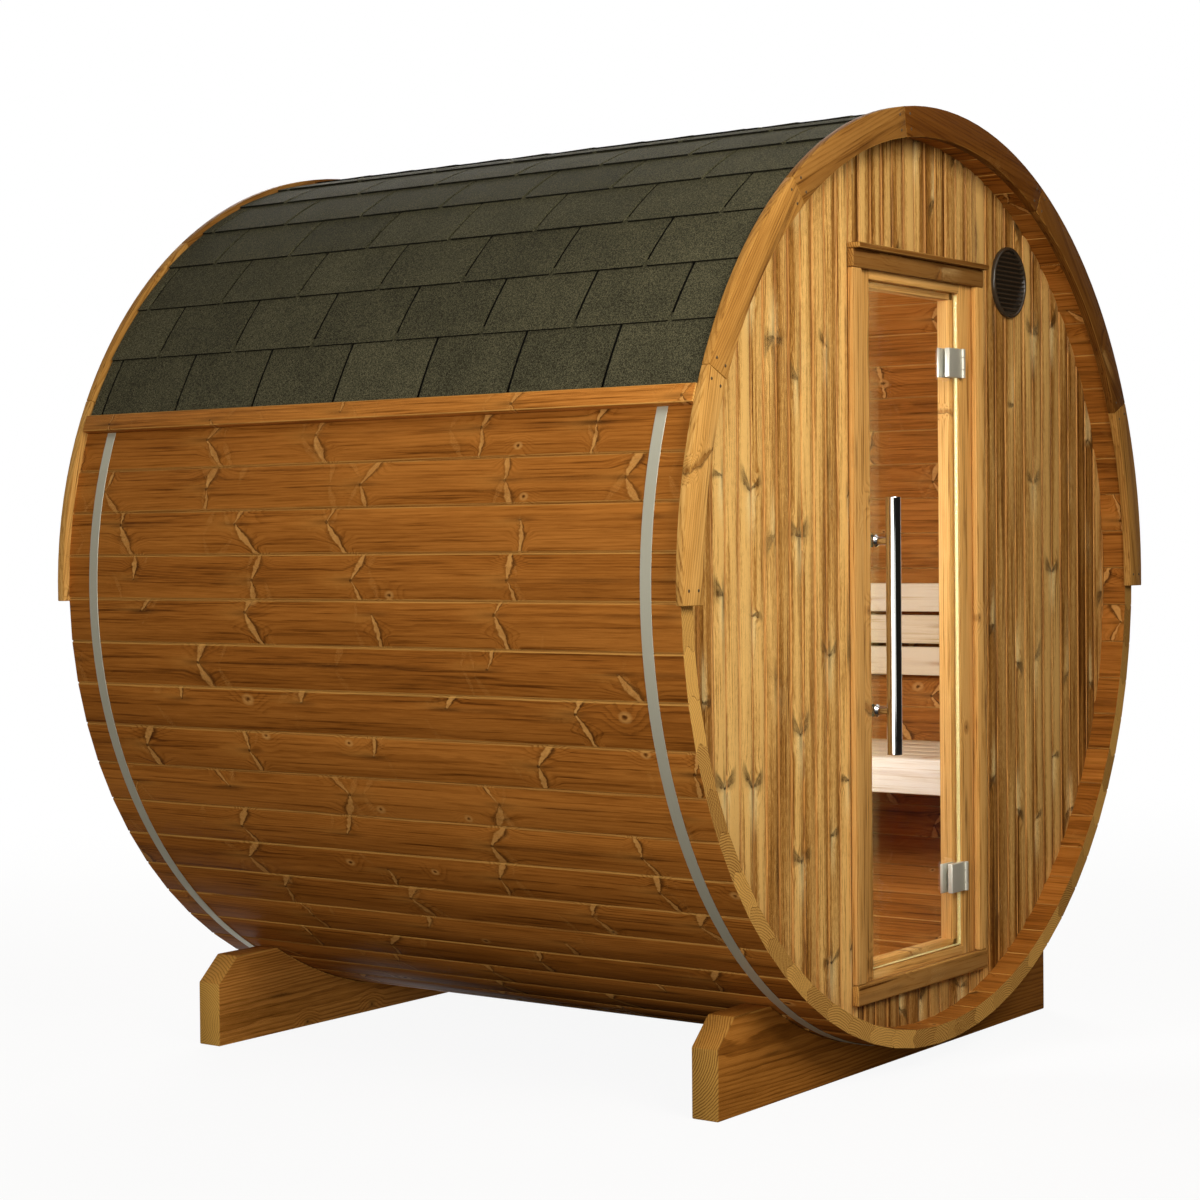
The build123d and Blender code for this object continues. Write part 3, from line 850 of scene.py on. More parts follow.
# Near-black felt under the cuts: the felt's own dark colour and painted shadow in the cuts.
FELT_AND_SLOT_SHADE = ShingleFinish(
    "bitumen_felt_slot_shade", "shingle", pale=paint(24, 23, 18), middle=paint(14, 13, 10), dark=paint(7, 7, 5),
)
BAND_STEEL = MetalFinish("band_satin_steel", "band_steel", paint(208, 206, 186), 0.5, 0.25, 0.5)
CHROME = MetalFinish("polished_chrome", "chrome", paint(226, 226, 222), 0.07, 0.06)
HINGE_STEEL = MetalFinish("hinge_satin_chrome", "chrome", paint(214, 211, 196), 0.4, 0.1, 0.5)
NAIL_STEEL = MetalFinish("nail_steel", "band_steel", paint(92, 72, 46), 0.5, 0.3, 0.4)
VENT_BLACK = PlasticFinish("vent_gloss_black", "vent_black", paint(52, 43, 32), 0.22)
GLASS = GlassFinish("door_clear_glass", "door_glass", paint(236, 244, 240), 0.015)
SEAL = PlasticFinish("door_pale_seal", "door_glass", paint(226, 204, 140), 0.35)


def block(low: Sequence[float], high: Sequence[float], rounding: float = 0.0, segments: int = 2) -> Shape:
    """A box between two corners.

    Args:
        low, high: The lowest and the highest corner.
        rounding, segments: Width of its rounded edges, if it has them, and number of faces across one.

    Returns:
        The box.
    """
    shape = bmesh.new()
    low, high = Vector(low), Vector(high)
    place = Matrix.Translation((low + high) / 2) @ Matrix.Diagonal((*(high - low), 1.0))
    bmesh.ops.create_cube(shape, size=1.0, matrix=place)
    return soften(shape, rounding, segments) if rounding else shape


def prism(
    outline: Outline, start: float, end: float, axes: tuple[Vector, Vector, Vector] = (RIGHT, UP, BACK)
) -> Shape:
    """An outline pushed along an axis.

    Args:
        outline: Points of the outline on the first two axes.
        start, end: Places along the third axis.
        axes: The three axes.

    Returns:
        The closed prism.
    """
    shape = bmesh.new()
    rings = []
    for place in (start, end):
        rings.append([shape.verts.new(axes[0] * u + axes[1] * v + axes[2] * place) for u, v in outline])
    shape.faces.new(rings[0])
    shape.faces.new(rings[1])
    for here in range(len(outline)):
        after = (here + 1) % len(outline)
        shape.faces.new((rings[0][here], rings[0][after], rings[1][after], rings[1][here]))
    bmesh.ops.recalc_face_normals(shape, faces=shape.faces[:])
    return shape


def turned(profile: Outline, foot: Vector, axis: Vector, segments: int = 40) -> Shape:
    """A profile turned about an axis.

    Args:
        profile: Radius and place along the axis of each point, closed if it starts off the axis.
        foot: Where the axis starts.
        axis: Its direction.
        segments: Number of faces round it.

    Returns:
        The closed turned shape.
    """
    side = axis.orthogonal().normalized()
    other = axis.cross(side)
    shape = bmesh.new()
    rings = []
    angles = [math.tau * k / segments for k in range(segments)]
    spokes = [side * math.cos(angle) + other * math.sin(angle) for angle in angles]
    for radius, rise in profile:
        middle = foot + axis * rise
        places = [middle + spoke * radius for spoke in spokes] if radius > 0.0 else [middle]
        rings.append([shape.verts.new(place) for place in places])
    pairs = list(zip(rings, rings[1:]))
    if len(rings[0]) > 1:
        pairs.append((rings[-1], rings[0]))
    for here, after in pairs:
        for k in range(segments):
            corners = [here[k % len(here)], here[(k + 1) % len(here)]]
            corners += [after[(k + 1) % len(after)], after[k % len(after)]]
            shape.faces.new(list(dict.fromkeys(corners)))
    bmesh.ops.recalc_face_normals(shape, faces=shape.faces[:])
    return shape


def soften(shape: Shape, width: float, segments: int = 2) -> Shape:
    """Round the sharp edges of a shape.

    Args:
        shape: The shape, which is changed.
        width: How far the rounding reaches.
        segments: Number of faces across it.

    Returns:
        The same shape.
    """
    sharp = [edge for edge in shape.edges if edge.is_manifold and edge.calc_face_angle() > SHARP_ANGLE]
    options = {"offset": width, "segments": segments, "profile": 0.5, "affect": "EDGES", "clamp_overlap": True}
    bmesh.ops.bevel(shape, geom=sharp, **options)
    return shape


@dataclass
class MeshBatch:
    """Shapes gathered into one mesh, each with its own grain direction and tone.

    Attributes:
        name: The mesh's name.
        seed: Seed of the tones.
    """

    name: str
    seed: int = 1
    points: list[Vector] = field(default_factory=list)
    faces: list[list[int]] = field(default_factory=list)
    grain: list[float] = field(default_factory=list)
    tones: list[float] = field(default_factory=list)
    tints: list[float] = field(default_factory=list)
    cuts: list[float] = field(default_factory=list)
    curved: list[bool] = field(default_factory=list)

    def __post_init__(self) -> None:
        """Start the tones' own random numbers."""
        self.dice = random.Random(self.seed)

    def add(
        self, shape: Shape, along: Vector = UP, across: Vector = RIGHT, tint: float = 0.0
    ) -> "MeshBatch":
        """Add a shape and free it.

        Args:
            shape: The shape.
            along: Direction of its grain.
            across: Direction of its width.
            tint: How pale it is.

        Returns:
            The batch.
        """
        start = len(self.points)
        tone = self.dice.random()
        depth = along.cross(across)
        corners = [v.co.copy() for v in shape.verts]
        middle = Vector([(min(levels) + max(levels)) / 2 for levels in zip(*corners)])
        shape.verts.index_update()
        shape.normal_update()
        for corner in corners:
            place = corner - middle
            self.points.append(corner)
            self.grain += [place.dot(along), place.dot(across), place.dot(depth)]
            self.tones.append(tone)
            self.tints.append(tint)
        for face in shape.faces:
            self.faces.append([start + v.index for v in face.verts])
            squareness = max(abs(face.normal.dot(axis)) for axis in (along, across, depth))
            sawn = abs(face.normal.dot(along)) > 0.8
            # Bevel faces get a share of the end-grain colour, a painted highlight of the rounded edges.
            self.cuts.append(1.0 if sawn else BEVEL_HIGHLIGHT if squareness < 0.95 else 0.0)
            self.curved.append(squareness < 0.99999)
        shape.free()
        return self

    def mesh(self, finish: Optional[Finish] = None) -> Mesh:
        """Write the mesh.

        Args:
            finish: What it is dressed in. A blank has none, and its copies get their own tones.

        Returns:
            The mesh with its grain and cut attributes, and its tones unless it is a blank.
        """
        mesh = bpy.data.meshes.new(self.name)
        mesh.from_pydata(self.points, [], self.faces)
        mesh.attributes.new("grain", "FLOAT_VECTOR", "POINT").data.foreach_set("vector", self.grain)
        for name, domain, values in (("cut", "FACE", self.cuts), ("tint", "POINT", self.tints)):
            mesh.attributes.new(name, "FLOAT", domain).data.foreach_set("value", values)
        mesh.polygons.foreach_set("use_smooth", self.curved)
        mesh.set_sharp_from_angle(angle=CREASE_ANGLE)
        if finish is not None:
            mesh.attributes.new("tone", "FLOAT", "POINT").data.foreach_set("value", self.tones)
            mesh.materials.append(finish.material())
        mesh.update()
        return mesh

    def publish(self, finish: Finish, nodes: Sequence[str] = (), body: Body = Body.CABIN) -> None:
        """Put the dressed mesh into the scene in place of some CAD nodes."""
        publish(self.mesh(finish), self.name, nodes, body)


def placed(name: str, data: bpy.types.ID) -> bpy.types.Object:
    """Put data into the scene as an object.

    Args:
        name: The object's name.
        data: Its mesh, light or camera.

    Returns:
        The object, at the origin.
    """
    made = bpy.data.objects.new(name, data)
    bpy.context.scene.collection.objects.link(made)
    return made


def publish(mesh: Mesh, name: str, nodes: Sequence[str], body: Body = Body.CABIN) -> None:
    """Put a finished mesh into the scene as a piece of the sauna.

    Args:
        mesh: The dressed mesh.
        name: The piece's name.
        nodes: CAD nodes that it stands for.
        body: The body that it moves with.
    """
    piece = placed(name, mesh)
    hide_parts(*nodes)
    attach(piece, body.value)
    log.info("%s: %d faces, rides on %s", name, len(mesh.polygons), body.value)


def row_graph() -> ShapeGraph:
    """A tree that repeats a blank along a line.

    Returns:
        The tree, with a count and a step.
    """
    graph = ShapeGraph("row_of_copies")
    count = graph.parameter("Count", "NodeSocketInt")
    step = graph.parameter("Step", "NodeSocketVector")
    offset = graph.node("ShaderNodeVectorMath", {0: step, "Scale": graph.index()}, operation="SCALE")
    return graph.close(graph.realize(graph.copies(graph.points(count), offset)))


@dataclass(frozen=True)
class Barrel:
    """Main sizes of the barrel, read from the frame.

    Attributes:
        axis_height: Height of the barrel's axis.
        radius: Radius of the staves' outer corners.
        half_length: Half the staves' length.
        wall_radius: Radius of the end walls.
        wall_front, wall_back: Distance of an end wall's outer and inner face from the middle.
        rows: Tree that repeats slats.
        staves, stave_thickness: Number of staves and their thickness.
    """

    axis_height: float
    radius: float
    half_length: float
    wall_radius: float
    wall_front: float
    wall_back: float
    rows: ShapeGraph
    staves: int = 66
    stave_thickness: float = 0.038

    @classmethod
    def read(cls) -> "Barrel":
        """Read the sizes from the frame.

        Returns:
            The sizes.
        """
        band_low, band_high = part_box("front_band")
        wall_low, wall_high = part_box("rear_wall")
        return cls(
            axis_height=(band_low.z + band_high.z) / 2,
            radius=(band_high.z - band_low.z) / 2 - (BAND_SKIN + FIT),
            half_length=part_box("bottom_staves")[1].y,
            wall_radius=(wall_high.z - wall_low.z) / 2,
            wall_front=wall_high.y,
            wall_back=wall_low.y,
            rows=row_graph(),
        )

    @property
    def stave_faces(self) -> tuple[float, float]:
        """Distances of a stave's outer and inner face from the axis."""
        outer = self.radius * math.cos(math.pi / self.staves)
        return outer, outer - self.stave_thickness

    def polar(self, radius: float, angle: float) -> tuple[float, float]:
        """X and Z of a point at an angle from the top towards the left, in degrees."""
        turn = math.radians(angle)
        return -radius * math.sin(turn), self.axis_height + radius * math.cos(turn)

    def arc(self, radius: float, start: float, end: float, steps: int) -> Outline:
        """Points of an arc about the barrel's axis between two angles, in degrees."""
        return [self.polar(radius, start + (end - start) * k / steps) for k in range(steps + 1)]


@dataclass
class StaveShell:
    """The shell of bead and cove staves.

    Attributes:
        turn: Angle of the first stave from the top, in degrees.
        gap: Joint gap between two staves.
        bevel: Bevel along the outer edges.
        bead_shoulder, bead_inner_shoulder: Distance of the bead from the outer and the inner face.
        bead_rise: How far the bead stands out.
    """

    barrel: Barrel
    turn: float = 1.15
    gap: float = 0.0007
    bevel: float = 0.0032
    bead_shoulder: float = 0.003
    bead_inner_shoulder: float = 0.008
    bead_rise: float = 0.012
    bead_steps: int = 8

    def build(self) -> None:
        """Build the ring of staves."""
        groups = ("roof", "left_upper", "left_lower", "bottom", "right_lower", "right_upper")
        turn_by = math.radians(-self.turn)
        values = {"Count": self.barrel.staves, "Turn": turn_by, "Axis height": self.barrel.axis_height, "Seed": 11}

        graph = ShapeGraph("ring_of_staves")
        count = graph.parameter("Count", "NodeSocketInt")
        turn, height = graph.numbers("Turn", "Axis height")
        angle = graph.index() * (math.tau / count) + turn
        graph.close(graph.realize(graph.copies(graph.points(count), graph.vector(0.0, 0.0, height), angle)))
        nodes = [f"{group}_staves" for group in groups]
        graph.grow(self._blank(), "stave_shell", THERMO_WOOD, nodes, values)

    def _edge(self, radial: float) -> float:
        """Half a stave's width at a distance from the axis, less half the joint gap."""
        return radial * math.tan(math.pi / self.barrel.staves) - self.gap / 2

    def _bead(self, sign: int, outer: float, inner: float) -> Outline:
        """The round edge of a stave's section, from its outer to its inner end.

        Args:
            sign: Side of the stave.
            outer, inner: Where the round starts and ends.

        Returns:
            The points.
        """
        points = []
        for k in range(self.bead_steps + 1):
            share = k / self.bead_steps
            radial = outer + (inner - outer) * share
            points.append((sign * self._edge(radial) + self.bead_rise * math.sin(math.pi * share), radial))
        return points

    def _blank(self) -> Mesh:
        """One stave at the top of a barrel whose axis is at the origin.

        Returns:
            The stave.
        """
        outer, inner = self.barrel.stave_faces
        bevel, edge = self.bevel, self._edge(outer)
        foot, heel = outer - bevel, inner + bevel / 2
        front = [(self._edge(foot), foot), (edge - bevel * 0.45, outer - bevel * 0.3), (edge - bevel, outer)]
        back = [(self._edge(heel), heel), (self._edge(inner) - bevel / 2, inner)]
        bead = (outer - self.bead_shoulder, inner + self.bead_inner_shoulder)
        outline = [
            *((-x, z) for x, z in front), *reversed(front), *self._bead(1, *bead),
            *back, *((-x, z) for x, z in reversed(back)), *reversed(self._bead(-1, *bead)),
        ]
        length = self.barrel.half_length
        return MeshBatch("stave").add(prism(outline, -length, length), BACK, RIGHT).mesh()


@dataclass
class EndWall:
    """An end wall of profiled upright boards, cut to the round.

    Attributes:
        end: Which end it closes.
        panels: CAD nodes of its panels, with their tints; on the front wall these are painted shade, darker to the
            right and under the door.
        pitch: Distance between board joints.
        gap: Gap in a joint.
        joint_depth, joint_width: Size of half a joint's groove.
        groove_depth, groove_width: Size of the groove in the middle of a board.
        crown: How far the two halves of a board's face stand out.
        tongue, tongue_gap: How far below the joint's foot the boards meet, and half the gap there.
    """

    barrel: Barrel
    end: End
    panels: Mapping[str, float]
    pitch: float = 0.0938
    gap: float = 0.0012
    joint_depth: float = 0.0065
    joint_width: float = 0.0042
    groove_depth: float = 0.0052
    groove_width: float = 0.0032
    crown: float = 0.0014
    crown_steps: int = 6
    tongue: float = 0.002
    tongue_gap: float = 0.0001

    def build(self) -> None:
        """Build every panel of the wall."""
        graph = self._graph()
        for seed, (node, tint) in enumerate(self.panels.items()):
            low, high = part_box(node)
            first = math.floor(low.x / self.pitch + 0.5)
            last = math.ceil(high.x / self.pitch - 0.5)
            values = {
                "First": first, "Count": last - first + 1, "Pitch": self.pitch,
                "Radius": self.barrel.wall_radius, "Axis height": self.barrel.axis_height,
                "Left": low.x, "Right": high.x, "Low": low.z, "High": high.z, "Seed": 31 + seed,
            }
            graph.grow(self._blank(tint), f"{node}_boards", WALL_WOOD, [node], values)

    def _graph(self) -> ShapeGraph:
        """The tree that sets boards side by side and cuts them to the round and to a panel.

        Returns:
            The tree.
        """
        graph = ShapeGraph(f"{self.end.name.lower()}_wall_boards")
        first, count = (graph.parameter(name, "NodeSocketInt") for name in ("First", "Count"))
        pitch, radius, height = graph.numbers("Pitch", "Radius", "Axis height")
        left, right, low, high = graph.numbers("Left", "Right", "Low", "High")
        offset = graph.vector((graph.index() + first) * pitch, 0.0, 0.0)
        boards = graph.realize(graph.copies(graph.points(count), offset))
        x, y, share = graph.position()
        inside = x.clamp(left, right)
        chord = (radius * radius - inside * inside).math("MAXIMUM", 0.0).math("SQRT")
        bottom = (height - chord).math("MAXIMUM", low)
        top = (height + chord).math("MINIMUM", high)
        cut = graph.place(boards, graph.vector(inside, y, bottom + (top - bottom) * share))
        _, across, depth = graph.stored("grain", "FLOAT_VECTOR").parts
        rise = graph.position()[2]
        grained = graph.store(cut, "grain", graph.vector(rise, across, depth), "POINT", "FLOAT_VECTOR")
        merge = {"Geometry": grained, "Distance": self.tongue_gap / 2}
        return graph.close(graph.node("GeometryNodeMergeByDistance", merge))

    def _blank(self, tint: float) -> Mesh:
        """One board at X 0, from height 0 to height 1.

        Args:
            tint: How pale it is.

        Returns:
            The board.
        """
        edge = (self.pitch - self.gap) / 2
        shoulder = edge - self.joint_width
        half = [(self.groove_width * 0.2, self.groove_depth)]
        for k in range(self.crown_steps + 1):
            share = k / self.crown_steps
            x = self.groove_width + (shoulder - self.groove_width) * share
            half.append((x, self.crown * (1 - math.sin(math.pi * share))))
        deep, meeting = self.joint_depth + self.tongue, self.pitch / 2 - self.tongue_gap
        half += [(edge - self.joint_width * 0.15, self.joint_depth), (edge, self.joint_depth)]
        half += [(edge, deep), (meeting, deep)]
        face = [(-x, depth) for x, depth in reversed(half)] + half
        sign = self.end.value
        outline = [(x, sign * (self.barrel.wall_front - depth)) for x, depth in face]
        outline += [(x, sign * self.barrel.wall_back) for x in (meeting, -meeting)]
        shape = prism(outline, 0.0, 1.0, (RIGHT, BACK, UP))
        return MeshBatch("wall_board").add(shape, UP, RIGHT, tint).mesh()


@dataclass
class ShingleRoof:
    """Courses of felt shingles over the upper half of the barrel.

    Attributes:
        courses: Number of courses on a side.
        tab: Distance between the cuts in a course.
        first_cut: Place of one cut of the lowest course along Y.
        slot: Width of a cut.
        butt, head: Height of a course's lower and upper end above the felt below.
        sheet: Thickness of a shingle.
        lap: How far a shingle reaches under the next course.
        curl: How far a tab's lower end lifts at most.
        corner: Rounding of a tab's lower corners, as a share of its size.
        felt, felt_inset: Thickness of the felt below, and how far from the eaves it ends, in degrees.
        ridge_gap: Distance from the top to the last course.
        ridge_width, ridge_step: Width and spacing of the ridge shingles.
        ridge_lifts: Height of a ridge shingle's front and rear end above its seat.
        ridge_sink, ridge_sheet: How far it sinks into the last course, and its thickness.
    """

    barrel: Barrel
    courses: int = 8
    tab: float = 0.2268
    first_cut: float = -0.5882
    slot: float = 0.0085
    butt: float = 0.0078
    head: float = 0.0042
    sheet: float = 0.0036
    lap: float = 0.02
    curl: float = 0.0012
    corner: float = 0.012
    steps: int = 6
    felt: float = 0.0008
    felt_inset: float = 0.15
    felt_steps: int = 48
    ridge_gap: float = 0.03
    ridge_width: float = 0.25
    ridge_step: float = 0.1349
    ridge_steps: int = 10
    ridge_lifts: tuple[float, float] = (0.0032, 0.0006)
    ridge_sink: float = 0.0012
    ridge_sheet: float = 0.0018

    def build(self) -> None:
        """Build the felt under the shingles, both sides and the ridge."""
        low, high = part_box("roof_shingles_left")
        base = self.barrel.radius + 2 * FIT + BAND_SKIN
        eave = math.acos((low.z - self.barrel.axis_height) / base)
        ridge = self.ridge_gap / base
        graph = self._graph()
        for side in Side:
            values = {
                "Courses": self.courses, "Tab": self.tab, "First cut": self.first_cut, "Slot": self.slot,
                "Front": low.y, "Rear": high.y, "Eave": eave, "Course": (eave - ridge) / self.courses,
                "Base": base, "Axis height": self.barrel.axis_height, "Butt": self.butt, "Head": self.head,
                "Sheet": self.sheet, "Lap": self.lap / base, "Side": float(side.value), "Seed": 53 + side.value,
            }
            name = side.name.lower()
            graph.grow(self._blank(), f"{name}_shingle_tabs", SHINGLE, [f"roof_shingles_{name}"], values)
        self._underlay(base, math.degrees(eave), low.y, high.y)
        self._ridge(base, low.y, high.y)

    def _graph(self) -> ShapeGraph:
        """The tree that lays tabs course by course and bends them round the barrel.

        Returns:
            The tree.
        """
        graph = ShapeGraph("shingle_courses")
        courses = graph.parameter("Courses", "NodeSocketInt")
        tab, first_cut, slot, front, rear = graph.numbers("Tab", "First cut", "Slot", "Front", "Rear")
        eave, course, base, height = graph.numbers("Eave", "Course", "Base", "Axis height")
        butt, head, sheet, lap, side = graph.numbers("Butt", "Head", "Sheet", "Lap", "Side")

        columns = ((rear - front) / tab).math("CEIL") + 2.0
        number = graph.index()
        row = (number / columns).math("FLOOR")
        start = front - (front - first_cut) % tab
        shift = (row % 2.0) * 0.5 * tab
        edge = start + ((number % columns) - 1.0) * tab + shift
        near, far = edge.clamp(front, rear), (edge + tab).clamp(front, rear)
        points = graph.points(columns * courses)
        for name, value in {"row": row, "middle": (near + far) / 2.0, "width": far - near - slot}.items():
            points = graph.store(points, name, value, "POINT")
        narrow = graph.stored("width").math("LESS_THAN", 0.01)
        kept = graph.node("GeometryNodeDeleteGeometry", {"Geometry": points, "Selection": narrow})
        tabs = graph.realize(graph.store(graph.copies(kept), "curl", graph.chance(0.0, 1.0, 3), "INSTANCE"))

        rise, across, layer = graph.position()
        climb = rise * (course + lap)
        share = (climb / course).math("MINIMUM", 1.0)
        lower = 1.0 - share
        top = head + (butt - head) * lower + graph.stored("curl") * lower * lower * self.curl
        under = (top - sheet).math("MAXIMUM", BAND_SKIN)
        radius = base + under + (top - under) * layer
        angle = eave - graph.stored("row") * course - climb
        place = graph.vector(
            side * radius * angle.math("SINE"),
            graph.stored("middle") + across * graph.stored("width"),
            height + radius * angle.math("COSINE"),
        )
        bent = graph.place(tabs, place)
        flipped = side.math("GREATER_THAN", 0.0)
        return graph.close(graph.node("GeometryNodeFlipFaces", {"Mesh": bent, "Selection": flipped}))

    def _blank(self) -> Mesh:
        """A flat tab: X from butt to head, Y across and Z through it, each of length 1.

        Returns:
            The tab.
        """
        outline = [(0.03, -0.5), (0.008, -0.5 + self.corner * 0.4), (0.0, -0.5 + self.corner * 1.4)]
        outline += [(0.0, -y) for _, y in reversed(outline[2:])] + [(x, -y) for x, y in reversed(outline[:2])]
        climbs = [(k + 1) / self.steps for k in range(self.steps)]
        outline += [(x, 0.5) for x in climbs] + [(x, -0.5) for x in reversed(climbs)]
        shape = prism(outline, 0.0, 1.0, (RIGHT, BACK, UP))
        for face in [face for face in shape.faces if len(face.verts) > 4]:
            pairs: dict[float, list[bmesh.types.BMVert]] = {}
            for vert in face.verts:
                if vert.co.x > 0.02:
                    pairs.setdefault(round(vert.co.x, 4), []).append(vert)
            for level in sorted(pairs)[:-1]:
                bmesh.ops.connect_verts(shape, verts=pairs[level])
        bmesh.ops.recalc_face_normals(shape, faces=shape.faces[:])
        return MeshBatch("shingle_tab").add(shape, RIGHT, BACK).mesh()

    def _underlay(self, base: float, eave: float, front: float, rear: float) -> None:
        """Build the felt sheet that shows in the cuts, near-black as painted shadow there.

        Args:
            base: Radius of its lower face.
            eave: Angle of its edges, in degrees.
            front, rear: Its ends.
        """
        edge = eave - self.felt_inset
        sheet = self.barrel.arc(base, edge, -edge, self.felt_steps)
        sheet += self.barrel.arc(base + self.felt, -edge, edge, self.felt_steps)
        MeshBatch("roof_underlay", 3).add(prism(sheet, front, rear), BACK, RIGHT).publish(FELT_AND_SLOT_SHADE)

    def _ridge(self, base: float, front: float, rear: float) -> None:
        """Build the lapped shingles over the ridge.

        Args:
            base: Radius of the felt's lower face.
            front, rear: Ends of the roof.
        """
        count = int((rear - front) // self.ridge_step)
        step = (rear - front) / count
        half = math.degrees(self.ridge_width / 2 / base)
        seat = base + self.butt - self.ridge_sink
        shape = bmesh.new()
        rings = []
        for place, lift in zip((front, front + step), self.ridge_lifts):
            ring = self.barrel.arc(seat + lift + self.ridge_sheet, half, -half, self.ridge_steps)
            ring += self.barrel.arc(seat + lift, -half, half, self.ridge_steps)
            rings.append([shape.verts.new((x, place, z)) for x, z in ring])
        size = len(rings[0])
        for k in range(size // 2 - 1):
            for ring in rings:
                shape.faces.new((ring[k], ring[k + 1], ring[size - 2 - k], ring[size - 1 - k]))
        for k in range(size):
            after = (k + 1) % size
            shape.faces.new((rings[0][k], rings[0][after], rings[1][after], rings[1][k]))
        bmesh.ops.recalc_face_normals(shape, faces=shape.faces[:])
        blank = MeshBatch("ridge_tab").add(shape, BACK, RIGHT).mesh()
        values = {"Count": count, "Step": (0.0, step, 0.0), "Seed": 61}
        self.barrel.rows.grow(blank, "ridge_shingles", SHINGLE, ["roof_ridge_cap"], values)


@dataclass
class Fascia:
    """Curved fascia boards with their nails on one end of the barrel.

    Attributes:
        end: Which end they are on.
        width: Width of a board.
        foot_angle: Angle of the lowest joint, in degrees.
        crown_angle: Angle of the joint near the top, in degrees.
        joint: Gap in a joint.
        nail_inset, nail_setback: Distances of a nail from a board's edge and from its end.
        foot_setback: How much further the lowest nails are from the end, in degrees.
        nail_radius, nail_height: Radius of a nail's head and how far it stands out.
        tints, foot_tints: Tints of the upper and the lower boards, from the left to the right; the crown boards are
            dark wood, and the darker right-hand boards carry painted shade as well.
    """

    barrel: Barrel
    end: End
    width: float = 0.064
    foot_angle: float = 65.4
    crown_angle: float = 10.0
    joint: float = 0.0008
    rounding: float = 0.0016
    steps: int = 14
    foot_steps: int = 10
    nail_inset: float = 0.016
    nail_setback: float = 0.022
    foot_setback: float = 0.4
    nail_radius: float = 0.0032
    nail_height: float = 0.0011
    # Darker towards the right: partly the boards' own tone, partly painted shade.
    tints: tuple[float, ...] = (0.0, -0.6, -1.0, -0.9)
    foot_tints: tuple[float, ...] = (0.45, -0.2)

    def build(self) -> None:
        """Build the boards and their nails."""
        name = self.end.name.lower()
        low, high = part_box(f"{name}_fascia_upper")
        face = low if self.end is End.FRONT else high
        face.y -= self.end.value * (self.nail_height + FIT)
        outer = high.z - self.barrel.axis_height
        inner = outer - self.width
        foot_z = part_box(f"{name}_fascia_left")[0].z
        crown, foot = self.crown_angle, self.foot_angle
        joints = [foot, (foot + crown) / 2, crown, (crown - foot) / 2, -foot]
        gap = math.degrees(self.joint / outer) / 2
        upper = MeshBatch(f"{name}_fascia_upper_boards", 71 + self.end.value)
        nails = []
        for start, end, tint in zip(joints, joints[1:], self.tints):
            outline = self.barrel.arc(outer, start - gap, end + gap, self.steps)
            outline += self.barrel.arc(inner, end + gap, start - gap, self.steps)
            self._board(upper, outline, (start + end) / 2, (low.y, high.y), tint)
            nails += self._nails(inner, outer, start, end)
        upper.publish(FASCIA_WOOD, [f"{name}_fascia_upper"])
        for side, tint in zip(Side, self.foot_tints):
            sign = -side.value
            drop = self.barrel.axis_height - foot_z
            feet = [math.degrees(math.pi / 2 + math.asin(drop / radius)) for radius in (outer, inner)]
            outline = self.barrel.arc(outer, sign * (foot + gap), sign * feet[0], self.foot_steps)
            outline += self.barrel.arc(inner, sign * feet[1], sign * (foot + gap), self.foot_steps)
            node = f"{name}_fascia_{side.name.lower()}"
            batch = MeshBatch(f"{node}_board", 83 + 2 * self.end.value + side.value)
            self._board(batch, outline, sign * (foot + 90) / 2, (low.y, high.y), tint)
            batch.publish(FASCIA_WOOD, [node])
            nails += self._nails(inner, outer, sign * foot, sign * (feet[1] - self.foot_setback))
        self._nail_heads([Vector((x, face.y, z)) for x, z in nails])

    def _board(
        self, batch: MeshBatch, outline: Outline, angle: float, span: tuple[float, float], tint: float
    ) -> None:
        """Add one board, sawn from a straight plank.

        Args:
            batch: Where it goes.
            outline: Its outline on the barrel's section.
            angle: Angle of its middle, in degrees.
            span: Its faces along Y.
            tint: How pale it is.
        """
        turn = math.radians(angle)
        along = Vector((math.cos(turn), 0.0, math.sin(turn)))
        across = Vector((-math.sin(turn), 0.0, math.cos(turn)))
        batch.add(soften(prism(outline, *span), self.rounding), along, across, tint)

    def _nails(self, inner: float, outer: float, start: float, end: float) -> Outline:
        """Places of a board's nails.

        Args:
            inner, outer: Radii of the board's edges.
            start, end: Angles of its ends, in degrees.

        Returns:
            Their X and Z.
        """
        sign = 1.0 if end > start else -1.0
        inset = sign * math.degrees(self.nail_setback / outer)
        radii = (inner + self.nail_inset, outer - self.nail_inset)
        return [self.barrel.polar(radius, angle) for radius in radii for angle in (start + inset, end - inset)]

    def _nail_heads(self, places: Sequence[Vector]) -> None:
        """Build a head on every nail's place.

        Args:
            places: Centres of the heads on the boards' faces.
        """
        end = self.end.name.lower()
        graph = ShapeGraph(f"{end}_nail_heads")
        radius = graph.parameter("Radius")
        ball = graph.node("GeometryNodeMeshUVSphere", {"Segments": 14, "Rings": 8, "Radius": radius})
        flat = self.nail_height / self.nail_radius
        head = graph.node("GeometryNodeTransform", {"Geometry": ball, "Scale": (1.0, flat, 1.0)})
        heads = graph.node("GeometryNodeInstanceOnPoints", {"Points": graph.blank, "Instance": head})
        graph.close(graph.realize(heads))
        blank = bpy.data.meshes.new("nail_places")
        blank.from_pydata(places, [], [])
        graph.grow(blank, f"{end}_fascia_nails", NAIL_STEEL, (), {"Radius": self.nail_radius, "Seed": 5})


